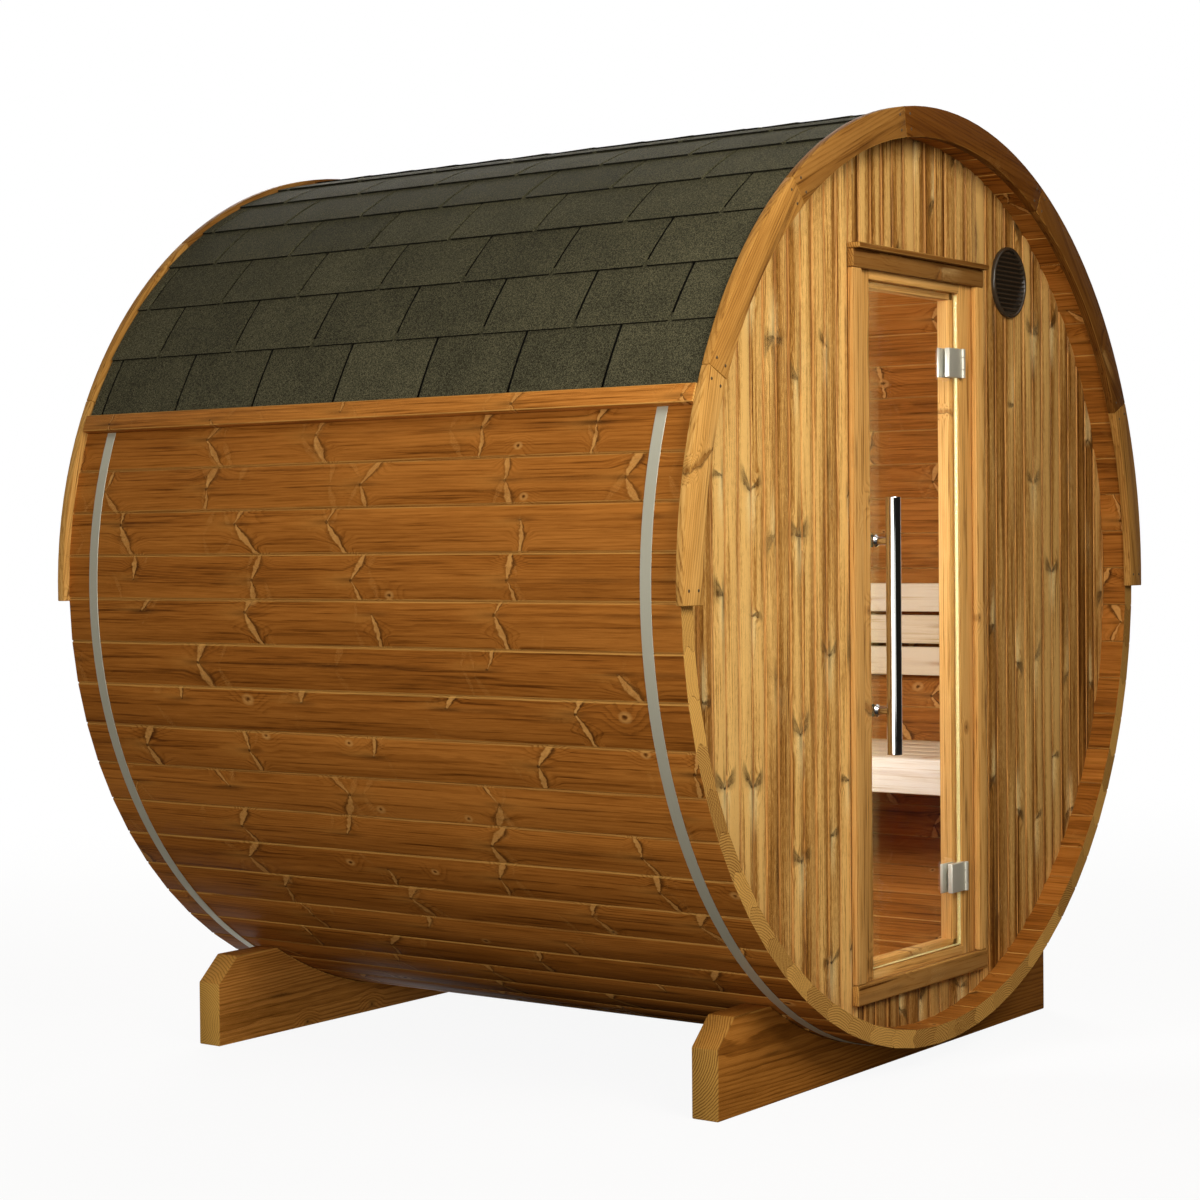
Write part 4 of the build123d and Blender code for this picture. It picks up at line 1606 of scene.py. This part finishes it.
@dataclass
class Cradles:
    """The two sawn beams that the barrel lies on.

    Attributes:
        end_height: Height of a beam's end face.
        chamfer_run: Length of the chamfer over it.
        tints: Tints of the front and the rear beam; the rear beam's pale tint is painted light on a beam that stands
            in shade.
    """

    barrel: Barrel
    end_height: float = 0.141
    chamfer_run: float = 0.06
    rounding: float = 0.003
    saddle_steps: int = 24
    # The rear beam is painted paler: painted light where it stands in the sauna's shade.
    tints: tuple[float, float] = (0.0, 0.8)

    def build(self) -> None:
        """Build both beams."""
        saddle = self.barrel.radius + FIT
        for seed, (node, tint) in enumerate(zip(("front_cradle", "rear_cradle"), self.tints)):
            low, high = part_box(node)
            reach = math.degrees(math.acos((self.barrel.axis_height - high.z) / saddle))
            outline = [
                (low.x + self.chamfer_run, high.z), (low.x, self.end_height), (low.x, low.z),
                (high.x, low.z), (high.x, self.end_height), (high.x - self.chamfer_run, high.z),
            ]
            outline += self.barrel.arc(saddle, 180 + reach, 180 - reach, self.saddle_steps)
            beam = soften(prism(outline, low.y, high.y), self.rounding)
            MeshBatch(f"{node}_beam", 101 + seed).add(beam, RIGHT, UP, tint).publish(BEAM_WOOD, [node])


@dataclass
class Bands:
    """The steel bands round the staves."""

    barrel: Barrel
    rounding: float = 0.0004
    segments: int = 160

    def build(self) -> None:
        """Build both bands."""
        for node in ("front_band", "rear_band"):
            low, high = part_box(node)
            outer = (high.z - low.z) / 2
            inner = outer - BAND_SKIN
            width, edge = high.y - low.y, self.rounding
            profile = [(inner, 0.0), (outer - edge, 0.0), (outer, edge)]
            profile += [(radius, width - rise) for radius, rise in reversed(profile)]
            foot = Vector((0.0, low.y, self.barrel.axis_height))
            MeshBatch(f"{node}_strip").add(turned(profile, foot, BACK, self.segments)).publish(BAND_STEEL, [node])


@dataclass
class Battens:
    """The battens along the eaves.

    Attributes:
        angle: Angle of a batten from the top, in degrees.
        width, thickness: Its section.
    """

    barrel: Barrel
    angle: float = 68.6
    width: float = 0.038
    thickness: float = 0.018
    rounding: float = 0.002
    tint: float = 0.65

    def build(self) -> None:
        """Build a batten on each side."""
        for side in Side:
            node = f"eave_batten_{side.name.lower()}"
            low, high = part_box(node)
            seat = self.barrel.radius + FIT
            half = self.width / 2
            shape = block((-half, low.y, seat), (half, high.y, seat + self.thickness), self.rounding)
            turn = Matrix.Rotation(side.value * math.radians(self.angle), 4, BACK)
            shape.transform(Matrix.Translation(UP * self.barrel.axis_height) @ turn)
            batch = MeshBatch(f"{node}_board", 111 + side.value)
            batch.add(shape, BACK, (turn @ RIGHT).normalized(), self.tint).publish(THERMO_WOOD, [node])


@dataclass
class DoorFrame:
    """The rebated frame, the casing boards and the drip cap round the glass door.

    Attributes:
        clearance: Gap round the glass.
        stop_lap: How far the stops reach behind the glass.
        stop_gap: Gap between the glass and the stops.
        casing_tints: Tints of the left, right, head and sill boards.
    """

    clearance: float = 0.005
    stop_lap: float = 0.01
    stop_gap: float = 0.005
    rounding: float = 0.004
    jamb_rounding: float = 0.0012
    casing_tints: tuple[float, ...] = (-0.18, -0.03, -0.85, -0.6)
    cap_tint: float = -0.9
    jamb_tint: float = -0.05

    def build(self) -> None:
        """Build the frame and its casing."""
        stop_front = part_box("door_glass")[1].y + self.stop_gap
        step = self.stop_lap + self.clearance
        for seed, node in enumerate(("door_stile_left", "door_stile_right", "door_sill_rail", "door_head_rail")):
            low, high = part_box(node)
            stop_low, rebate_low, rebate_high = low.copy(), low.copy(), high.copy()
            stop_low.y = rebate_high.y = stop_front
            along, across = (UP, RIGHT) if "stile" in node else (RIGHT, UP)
            if node in ("door_stile_left", "door_sill_rail"):
                rebate_high -= across * step
            else:
                rebate_low += across * step
            batch = MeshBatch(f"{node}_board", 121 + seed)
            for corners in ((rebate_low, rebate_high), (stop_low, high)):
                batch.add(block(*corners, self.jamb_rounding), along, across, self.jamb_tint)
            batch.publish(FRAME_WOOD, [node])
        parts = enumerate(zip(("left", "right", "head", "sill"), self.casing_tints))
        boards = [(f"door_casing_{part}", tint, 131 + seed) for seed, (part, tint) in parts]
        for node, tint, seed in (*boards, ("door_drip_cap", self.cap_tint, 137)):
            axes = (UP, RIGHT) if node.endswith(("left", "right")) else (RIGHT, UP)
            board = block(*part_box(node), self.rounding, 4)
            MeshBatch(f"{node}_board", seed).add(board, *axes, tint).publish(FRAME_WOOD, [node])


@dataclass
class DoorLeaf:
    """The glass door with its seal, handle and hinges.

    Attributes:
        seal_width: Width of the seal on the hinge edge and the foot of the glass.
        bar_radius: Radius of the handle's bar.
        post_spacing: Distance between its posts.
        post_radius, rosette_radius: Radii of a post and its foot.
        cap_depth: Thickness of the cap nuts on the inner face.
        hinge_height: Height of a hinge.
        clamp_width, clamp_depth: Size of its plate on the glass.
        inner_width, inner_depth, inner_inset: Size of its plate behind the glass, and its distance from the edge.
        knuckle_radius, knuckle_height, knuckle_gap: Size of the middle knuckle and gap beside it.
        link_lap: How far a link to a knuckle laps the plate.
    """

    glass_rounding: float = 0.0008
    seal_width: float = 0.0022
    seal_rounding: float = 0.0004
    bar_radius: float = 0.016
    bar_rounding: float = 0.0018
    post_spacing: float = 0.355
    post_radius: float = 0.009
    rosette_radius: float = 0.0135
    cap_depth: float = 0.005
    hinge_height: float = 0.064
    clamp_width: float = 0.058
    clamp_depth: float = 0.012
    clamp_rounding: float = 0.0016
    inner_width: float = 0.051
    inner_depth: float = 0.006
    inner_rounding: float = 0.0012
    inner_inset: float = 0.015
    knuckle_radius: float = 0.006
    knuckle_height: float = 0.026
    knuckle_gap: float = 0.0005
    link_lap: float = 0.004
    link_rounding: float = 0.0004
    foot_rounding: float = 0.0008

    def build(self) -> None:
        """Build the leaf and the hinge brackets on the frame."""
        low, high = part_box("door_glass")
        glass = MeshBatch("door_glass_sheet").add(block(low, high, self.glass_rounding))
        glass.publish(GLASS, ["door_glass"], Body.DOOR)
        right, front = high.x + self.seal_width, low.y - FIT
        seal = MeshBatch("door_edge_seal")
        for start, end in (
            ((high.x + FIT, front, low.z), (right, high.y, high.z)),
            ((low.x, front, low.z - self.seal_width), (right, high.y, low.z - FIT)),
        ):
            seal.add(block(start, end, self.seal_rounding))
        seal.publish(SEAL, (), Body.DOOR)
        self._handle(low, high)
        self._hinges(low, high)

    def _handle(self, low: Vector, high: Vector) -> None:
        """Build the bar on its posts.

        Args:
            low, high: Corners of the glass.
        """
        bar_low, bar_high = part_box("door_handle")
        x = (bar_low.x + bar_high.x) / 2
        y = bar_low.y + self.bar_radius
        length = bar_high.z - bar_low.z
        radius, edge = self.bar_radius, self.bar_rounding
        bar = [(0.0, 0.0), (radius - edge, 0.0), (radius - edge * 0.3, edge * 0.3)]
        bar += [(radius, edge), (radius, edge * 1.3)]
        bar += [(across, length - rise) for across, rise in reversed(bar)]
        batch = MeshBatch("door_handle_bar").add(turned(bar, Vector((x, y, bar_low.z)), UP, 48))
        reach = low.y - y
        foot, neck = self.rosette_radius, self.post_radius
        post = [
            (0.0, 0.0), (foot - 0.0006, 0.0), (foot, 0.0006), (foot, 0.003), (foot - 0.0012, 0.0042),
            (neck + 0.001, 0.0075), (neck, 0.009), (neck, reach), (0.0, reach),
        ]
        cap = [
            (0.0, 0.0), (foot, 0.0), (foot, self.cap_depth * 0.55), (foot * 0.75, self.cap_depth * 0.9),
            (0.0, self.cap_depth),
        ]
        middle = (low.z + high.z) / 2
        for rise in (-self.post_spacing / 2, self.post_spacing / 2):
            batch.add(turned(post, Vector((x, low.y, middle + rise)), -BACK, 32))
            batch.add(turned(cap, Vector((x, high.y, middle + rise)), BACK, 32))
        batch.publish(CHROME, ["door_handle"], Body.DOOR)

    def _hinges(self, low: Vector, high: Vector) -> None:
        """Build the hinge plates on the glass and the brackets on the frame.

        Args:
            low, high: Corners of the glass.
        """
        pivot = Vector(frame["joints"][0]["pos_m"])
        bracket_low, bracket_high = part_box("door_hinge_brackets")
        middle = self.knuckle_height
        clamps, brackets = MeshBatch("door_hinge_plates"), MeshBatch("door_hinge_feet")
        clamp_right, inner_right = pivot.x - self.knuckle_radius, high.x - self.inner_inset
        clamp_front = low.y - self.clamp_depth
        side = (self.hinge_height - middle) / 2 - self.knuckle_gap
        for z in (bracket_low.z + middle / 2, bracket_high.z - middle / 2):
            bottom, top = z - self.hinge_height / 2, z + self.hinge_height / 2
            start, end = (clamp_right - self.clamp_width, clamp_front, bottom), (clamp_right, low.y - FIT, top)
            clamps.add(block(start, end, self.clamp_rounding, 3))
            start = (inner_right - self.inner_width, high.y + FIT, bottom)
            end = (inner_right, high.y + self.inner_depth, top)
            clamps.add(block(start, end, self.inner_rounding))
            for foot in (bottom, top - side):
                clamps.add(self._knuckle(pivot, foot, side, self.knuckle_radius))
                start = (clamp_right - self.link_lap, clamp_front + self.link_rounding / 2, foot)
                end = (pivot.x, low.y - self.clamp_depth / 2, foot + side)
                clamps.add(block(start, end, self.link_rounding, 1))
            pin = self.hinge_height - 2 * PIN_INSET
            clamps.add(self._knuckle(pivot, bottom + PIN_INSET, pin, self.knuckle_radius / 2))
            brackets.add(self._knuckle(pivot, z - middle / 2, middle, self.knuckle_radius))
            start = (pivot.x + PIN_INSET, pivot.y, z - middle / 2)
            end = (bracket_high.x, bracket_high.y, z + middle / 2)
            brackets.add(block(start, end, self.foot_rounding))
        clamps.publish(HINGE_STEEL, ["door_hinge_clamps"], Body.DOOR)
        brackets.publish(HINGE_STEEL, ["door_hinge_brackets"])

    @staticmethod
    def _knuckle(pivot: Vector, foot: float, height: float, radius: float) -> Shape:
        """A knuckle or a pin on the door's pivot.

        Args:
            pivot: A point on the pivot.
            foot: Height of its lower end.
            height, radius: Its size.

        Returns:
            The shape.
        """
        edge = min(0.0008, radius / 4)
        profile = [(0.0, 0.0), (radius - edge, 0.0), (radius, edge)]
        profile += [(across, height - rise) for across, rise in reversed(profile)]
        return turned(profile, Vector((pivot.x, pivot.y, foot)), UP, 28)


@dataclass
class Vent:
    """The round louvred vent in the front wall.

    Attributes:
        rim: Width of its rim.
        back: Thickness of the plate behind the louvres.
        louvre_count: Number of louvres.
        louvre_depth, louvre_thickness: Section of a louvre.
        tilt: Tilt of a louvre, in degrees.
    """

    rim: float = 0.009
    rim_steps: int = 8
    back: float = 0.0012
    segments: int = 72
    louvre_count: int = 13
    louvre_depth: float = 0.0092
    louvre_thickness: float = 0.0014
    tilt: float = 40.0

    def build(self) -> None:
        """Build the rim with its back and the louvres."""
        low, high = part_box("vent_grille")
        radius = (high.x - low.x) / 2
        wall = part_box("front_wall_right")[0].y
        depth = wall - low.y
        middle = Vector(((low.x + high.x) / 2, wall, (low.z + high.z) / 2))
        hole = radius - self.rim
        rim = [(0.0, self.back), (hole - 0.001, self.back), (hole, depth * 0.35)]
        for k in range(self.rim_steps + 1):
            turn = math.pi * k / self.rim_steps
            rim.append((hole + (1 - math.cos(turn)) * self.rim / 2, depth * (0.45 + math.sin(turn) * 0.55)))
        rim += [(radius, 0.0), (0.0, 0.0)]
        MeshBatch("vent_rim").add(turned(rim, middle, -BACK, self.segments)).publish(VENT_BLACK, ["vent_grille"])
        corner = Vector((0.5, self.louvre_depth / 2, self.louvre_thickness / 2))
        louvre = block(-corner, corner)
        louvre.transform(Matrix.Rotation(math.radians(-self.tilt), 4, RIGHT))
        blank = MeshBatch("vent_louvre").add(louvre).mesh()
        values = {"Count": self.louvre_count, "Radius": hole, "Middle": middle - BACK * depth * 0.5, "Seed": 7}

        graph = ShapeGraph("stack_of_louvres")
        count = graph.parameter("Count", "NodeSocketInt")
        radius = graph.parameter("Radius")
        x, y, z = graph.parameter("Middle", "NodeSocketVector").parts
        pitch = radius * 2.0 / (count + 1.0)
        rise = (graph.index() + 1.0) * pitch - radius
        length = (radius * radius - rise * rise).math("SQRT") * 2.0
        scale = graph.vector(length, 1.0, 1.0)
        graph.close(graph.realize(graph.copies(graph.points(count), graph.vector(x, y, z + rise), 0.0, scale)))
        graph.grow(blank, "vent_louvres", VENT_BLACK, (), values)


@dataclass
class Bench:
    """The bench and its backrest on the right.

    Attributes:
        slats: Number of seat slats.
        slat_gap: Gap between them.
        back_slats: Number of backrest slats.
        back_slat_height: Height of one.
        bearers, supports: Number of bearers and of backrest supports.
        beam: Thickness of a bearer and of a support.
    """

    barrel: Barrel
    slats: int = 5
    slat_gap: float = 0.012
    back_slats: int = 3
    back_slat_height: float = 0.072
    bearers: int = 3
    supports: int = 2
    beam: float = 0.045
    beam_steps: int = 6
    rounding: float = 0.003
    slat_tint: float = -0.55
    front_tint: float = 0.6

    def build(self) -> None:
        """Build the bench."""
        low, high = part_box("bench_seat")
        width = (high.x - low.x - (self.slats - 1) * self.slat_gap) / self.slats
        slat = block(low, (low.x + width, high.y, high.z), self.rounding, 3)
        self._row("bench_seat", slat, self.slats, RIGHT, width + self.slat_gap)
        front = block(*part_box("bench_front_board"), self.rounding, 3)
        batch = MeshBatch("bench_front_board_plank", 141).add(front, BACK, UP, self.front_tint)
        batch.publish(BENCH_WOOD, ["bench_front_board"])
        low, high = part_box("backrest_slats")
        step = (high.z - low.z - self.back_slat_height) / (self.back_slats - 1)
        slat = block(low, (high.x, high.y, low.z + self.back_slat_height), self.rounding, 3)
        self._row("backrest_slats", slat, self.back_slats, UP, step)
        self._beams("bench_bearers", self.bearers)
        self._beams("backrest_supports", self.supports)

    def _row(self, node: str, slat: Shape, count: int, across: Vector, step: float) -> None:
        """Repeat a slat in place of a node.

        Args:
            node: The CAD node.
            slat: The first slat.
            count: Number of slats.
            across: Direction of a slat's width, in which they repeat.
            step: Distance between them.
        """
        blank = MeshBatch(f"{node}_slat").add(slat, BACK, across, self.slat_tint).mesh()
        values = {"Count": count, "Step": across * step, "Seed": 17 + count}
        self.barrel.rows.grow(blank, f"{node}_row", BENCH_WOOD, [node], values)

    def _beams(self, node: str, count: int) -> None:
        """Repeat a beam that ends on the round of the staves.

        Args:
            node: The CAD node.
            count: Number of beams.
        """
        low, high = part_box(node)
        room = self.barrel.stave_faces[1] - FIT
        rises = [low.z + (high.z - low.z) * k / self.beam_steps for k in range(self.beam_steps + 1)]
        outline = [(math.sqrt(room**2 - (z - self.barrel.axis_height) ** 2), z) for z in rises]
        outline += [(low.x, high.z), (low.x, low.z)]
        blank = MeshBatch(f"{node}_beam").add(prism(outline, low.y, low.y + self.beam), RIGHT, UP).mesh()
        step = (high.y - low.y - self.beam) / (count - 1)
        values = {"Count": count, "Step": BACK * step, "Seed": 23 + count}
        self.barrel.rows.grow(blank, f"{node}_row", BENCH_WOOD, [node], values)


@dataclass
class Studio:
    """The pale floor, the soft lights and the white surroundings.

    Attributes:
        fill: Strength of the light from all round.
        floor_size: Width of the floor.
        fade_start, fade_end: Distances between which the floor turns to plain white.
    """

    fill: float = 0.14
    floor_size: float = 120.0
    fade_start: float = 1.6
    fade_end: float = 6.0

    def build(self) -> None:
        """Build the floor, the world, the lights and the dark cards."""
        self._world()
        self._floor()
        middle = Vector((0.0, 0.0, 1.0))
        warm, white = paint(255, 248, 236), paint(255, 252, 248)
        self._light("key_light", Vector((-1.4, -2.9, 2.5)), Vector((-0.5, -0.75, 1.35)), 1.5, 26.0, warm, 110.0)
        self._light("side_light", Vector((-4.7, -2.0, 1.4)), middle, 2.4, 112.0, white)
        self._light("rear_light", Vector((4.5, 5.0, 4.0)), middle, 4.0, 340.0, white)
        self._light("room_light", Vector((-0.6, -0.1, 1.3)), Vector((0.6, 0.0, 0.65)), 0.5, 18.5, paint(246, 249, 255))
        for name, ends, rise in (
            ("right_card", (-30.0, 78.0), (0.0, 7.0)), ("left_card", (-150.0, -116.0), (0.0, 7.0)),
            ("upper_card", (-116.0, -30.0), (1.15, 7.0)), ("lower_card", (-116.0, -30.0), (0.0, 0.2)),
        ):
            self._card(name, ends, rise)

    def _world(self) -> None:
        """White to look at, and a softer fill as light."""
        world = bpy.data.worlds.new("white_surroundings")
        world.use_nodes = True
        world.node_tree.nodes.clear()
        bpy.context.scene.world = world
        graph = Graph(world.node_tree)
        lamp = graph.node("ShaderNodeBackground", {"Color": paint(255, 236, 212), "Strength": self.fill})
        white = graph.node("ShaderNodeBackground", {"Color": paint(255, 255, 255), "Strength": 1.0})
        mixed = graph.node("ShaderNodeMixShader", {0: graph.seen(), 1: lamp, 2: white})
        graph.feed(world.node_tree.nodes.new("ShaderNodeOutputWorld").inputs["Surface"], mixed)

    def _floor(self) -> None:
        """A pale floor that keeps the shadow near the sauna and turns to white further out."""
        half = self.floor_size / 2
        mesh = bpy.data.meshes.new("studio_floor")
        corners = [(-half, -half, 0.0), (half, -half, 0.0), (half, half, 0.0), (-half, half, 0.0)]
        mesh.from_pydata(corners, [], [(0, 1, 2, 3)])
        graph = SurfaceGraph("studio_floor_paint")
        x, y, _ = graph.place().parts
        far = ((x * x + y * y) ** 0.5).rise(self.fade_start, self.fade_end)
        matt = graph.node("ShaderNodeBsdfDiffuse", {"Color": paint(250, 250, 250)})
        white = graph.node("ShaderNodeEmission", {"Color": paint(255, 255, 255), "Strength": 1.0})
        paper = graph.node("ShaderNodeMixShader", {0: 0.92, 1: matt, 2: white})
        dim = graph.node("ShaderNodeBsdfDiffuse", {"Color": paint(100, 88, 72)})
        shown = graph.node("ShaderNodeMixShader", {0: far, 1: paper, 2: white})
        mesh.materials.append(graph.show(graph.node("ShaderNodeMixShader", {0: graph.seen(), 1: dim, 2: shown})))
        placed("studio_floor", mesh)

    @staticmethod
    def _light(
        name: str, place: Vector, target: Vector, size: float, power: float, colour: Colour, spread: float = 180.0
    ) -> None:
        """Add a soft square light.

        Args:
            name: The light's name.
            place, target: Where it hangs and what it points at.
            size, power, colour: Its width, power and colour.
            spread: Angle of its beam, in degrees.
        """
        data = bpy.data.lights.new(name, "AREA")
        data.size, data.energy, data.color, data.spread = size, power, colour[:3], math.radians(spread)
        lamp = placed(name, data)
        lamp.location = place
        lamp.rotation_euler = (target - place).to_track_quat("-Z", "Y").to_euler()
        lamp.visible_camera = False

    @staticmethod
    def _card(name: str, ends: tuple[float, float], rise: tuple[float, float]) -> None:
        """Add a dark curved card with a strip of floor before it, which only mirrors see.

        Args:
            name: The card's name.
            ends: Angles from straight ahead of the door towards the right, in degrees.
            rise: Heights of its lower and upper edge; one that stands on the floor has the strip.
        """
        near, far, lift, steps = 0.1, 9.0, 0.002, 12
        points, faces = [], []
        for k in range(steps + 1):
            turn = math.radians(ends[0] + (ends[1] - ends[0]) * k / steps)
            out = Vector((math.sin(turn), -math.cos(turn), 0.0))
            foot = UP * max(rise[0], lift)
            points += [out * (near if rise[0] == 0.0 else far) + foot, out * far + foot, out * far + UP * rise[1]]
            if k:
                here = 3 * k
                faces.append((here - 2, here + 1, here + 2, here - 1))
                if rise[0] == 0.0:
                    faces.append((here - 3, here, here + 1, here - 2))
        mesh = bpy.data.meshes.new(name)
        mesh.from_pydata(points, [], faces)
        graph = SurfaceGraph(f"{name}_cloth")
        mesh.materials.append(graph.close({"Base Color": paint(40, 36, 32), "Roughness": 0.9}))
        card = placed(name, mesh)
        card.visible_camera = card.visible_diffuse = card.visible_shadow = card.visible_transmission = False


@dataclass(frozen=True)
class PhotoCamera:
    """The camera that sees the sauna as the photo does.

    Attributes:
        place: Where it stands.
        yaw, pitch, roll: Its direction, in degrees.
        lens: Focal length on a sensor 36 mm wide.
    """

    place: tuple[float, float, float] = (-4.7554, -3.3642, 1.1253)
    yaw: float = 35.96
    pitch: float = -1.295
    roll: float = -0.549
    lens: float = 75.236

    def build(self) -> None:
        """Add the camera and make it the scene's own."""
        yaw, pitch, roll = (math.radians(angle) for angle in (self.yaw, self.pitch, self.roll))
        ahead = Vector((math.cos(yaw) * math.cos(pitch), math.sin(yaw) * math.cos(pitch), math.sin(pitch)))
        level = Vector((math.sin(yaw), -math.cos(yaw), 0.0))
        above = level.cross(ahead)
        right = level * math.cos(roll) + above * math.sin(roll)
        up = above * math.cos(roll) - level * math.sin(roll)
        data = bpy.data.cameras.new("photo_camera")
        data.sensor_width, data.lens = 36.0, self.lens
        camera = placed("photo_camera", data)
        camera.matrix_world = Matrix.Translation(self.place) @ Matrix((right, up, -ahead)).transposed().to_4x4()
        bpy.context.scene.camera = camera


def main() -> None:
    """Build and dress the sauna, then set up the studio and the camera."""
    logging.basicConfig(level=logging.INFO, format="%(message)s", stream=sys.stdout)
    barrel = Barrel.read()
    # Front wall panels tinted darker to the right and under the door: painted shade for the light falling off from the
    # upper left.
    front_painted_shade = {"left": 0.0, "right": -0.25, "over_door": -0.2, "under_door": -0.6}
    front_panels = {f"front_wall_{part}": tint for part, tint in front_painted_shade.items()}
    assemblies = (
        StaveShell(barrel), EndWall(barrel, End.FRONT, front_panels), EndWall(barrel, End.REAR, {"rear_wall": 0.0}),
        ShingleRoof(barrel), Fascia(barrel, End.FRONT), Fascia(barrel, End.REAR), Cradles(barrel),
        Bands(barrel), Battens(barrel), DoorFrame(), DoorLeaf(), Vent(), Bench(barrel),
    )
    for assembly in assemblies:
        log.info("Building %s", type(assembly).__name__)
        assembly.build()
    Studio().build()
    PhotoCamera().build()
    bpy.context.scene.view_settings.view_transform = "Standard"


if __name__ == "__main__":
    main()
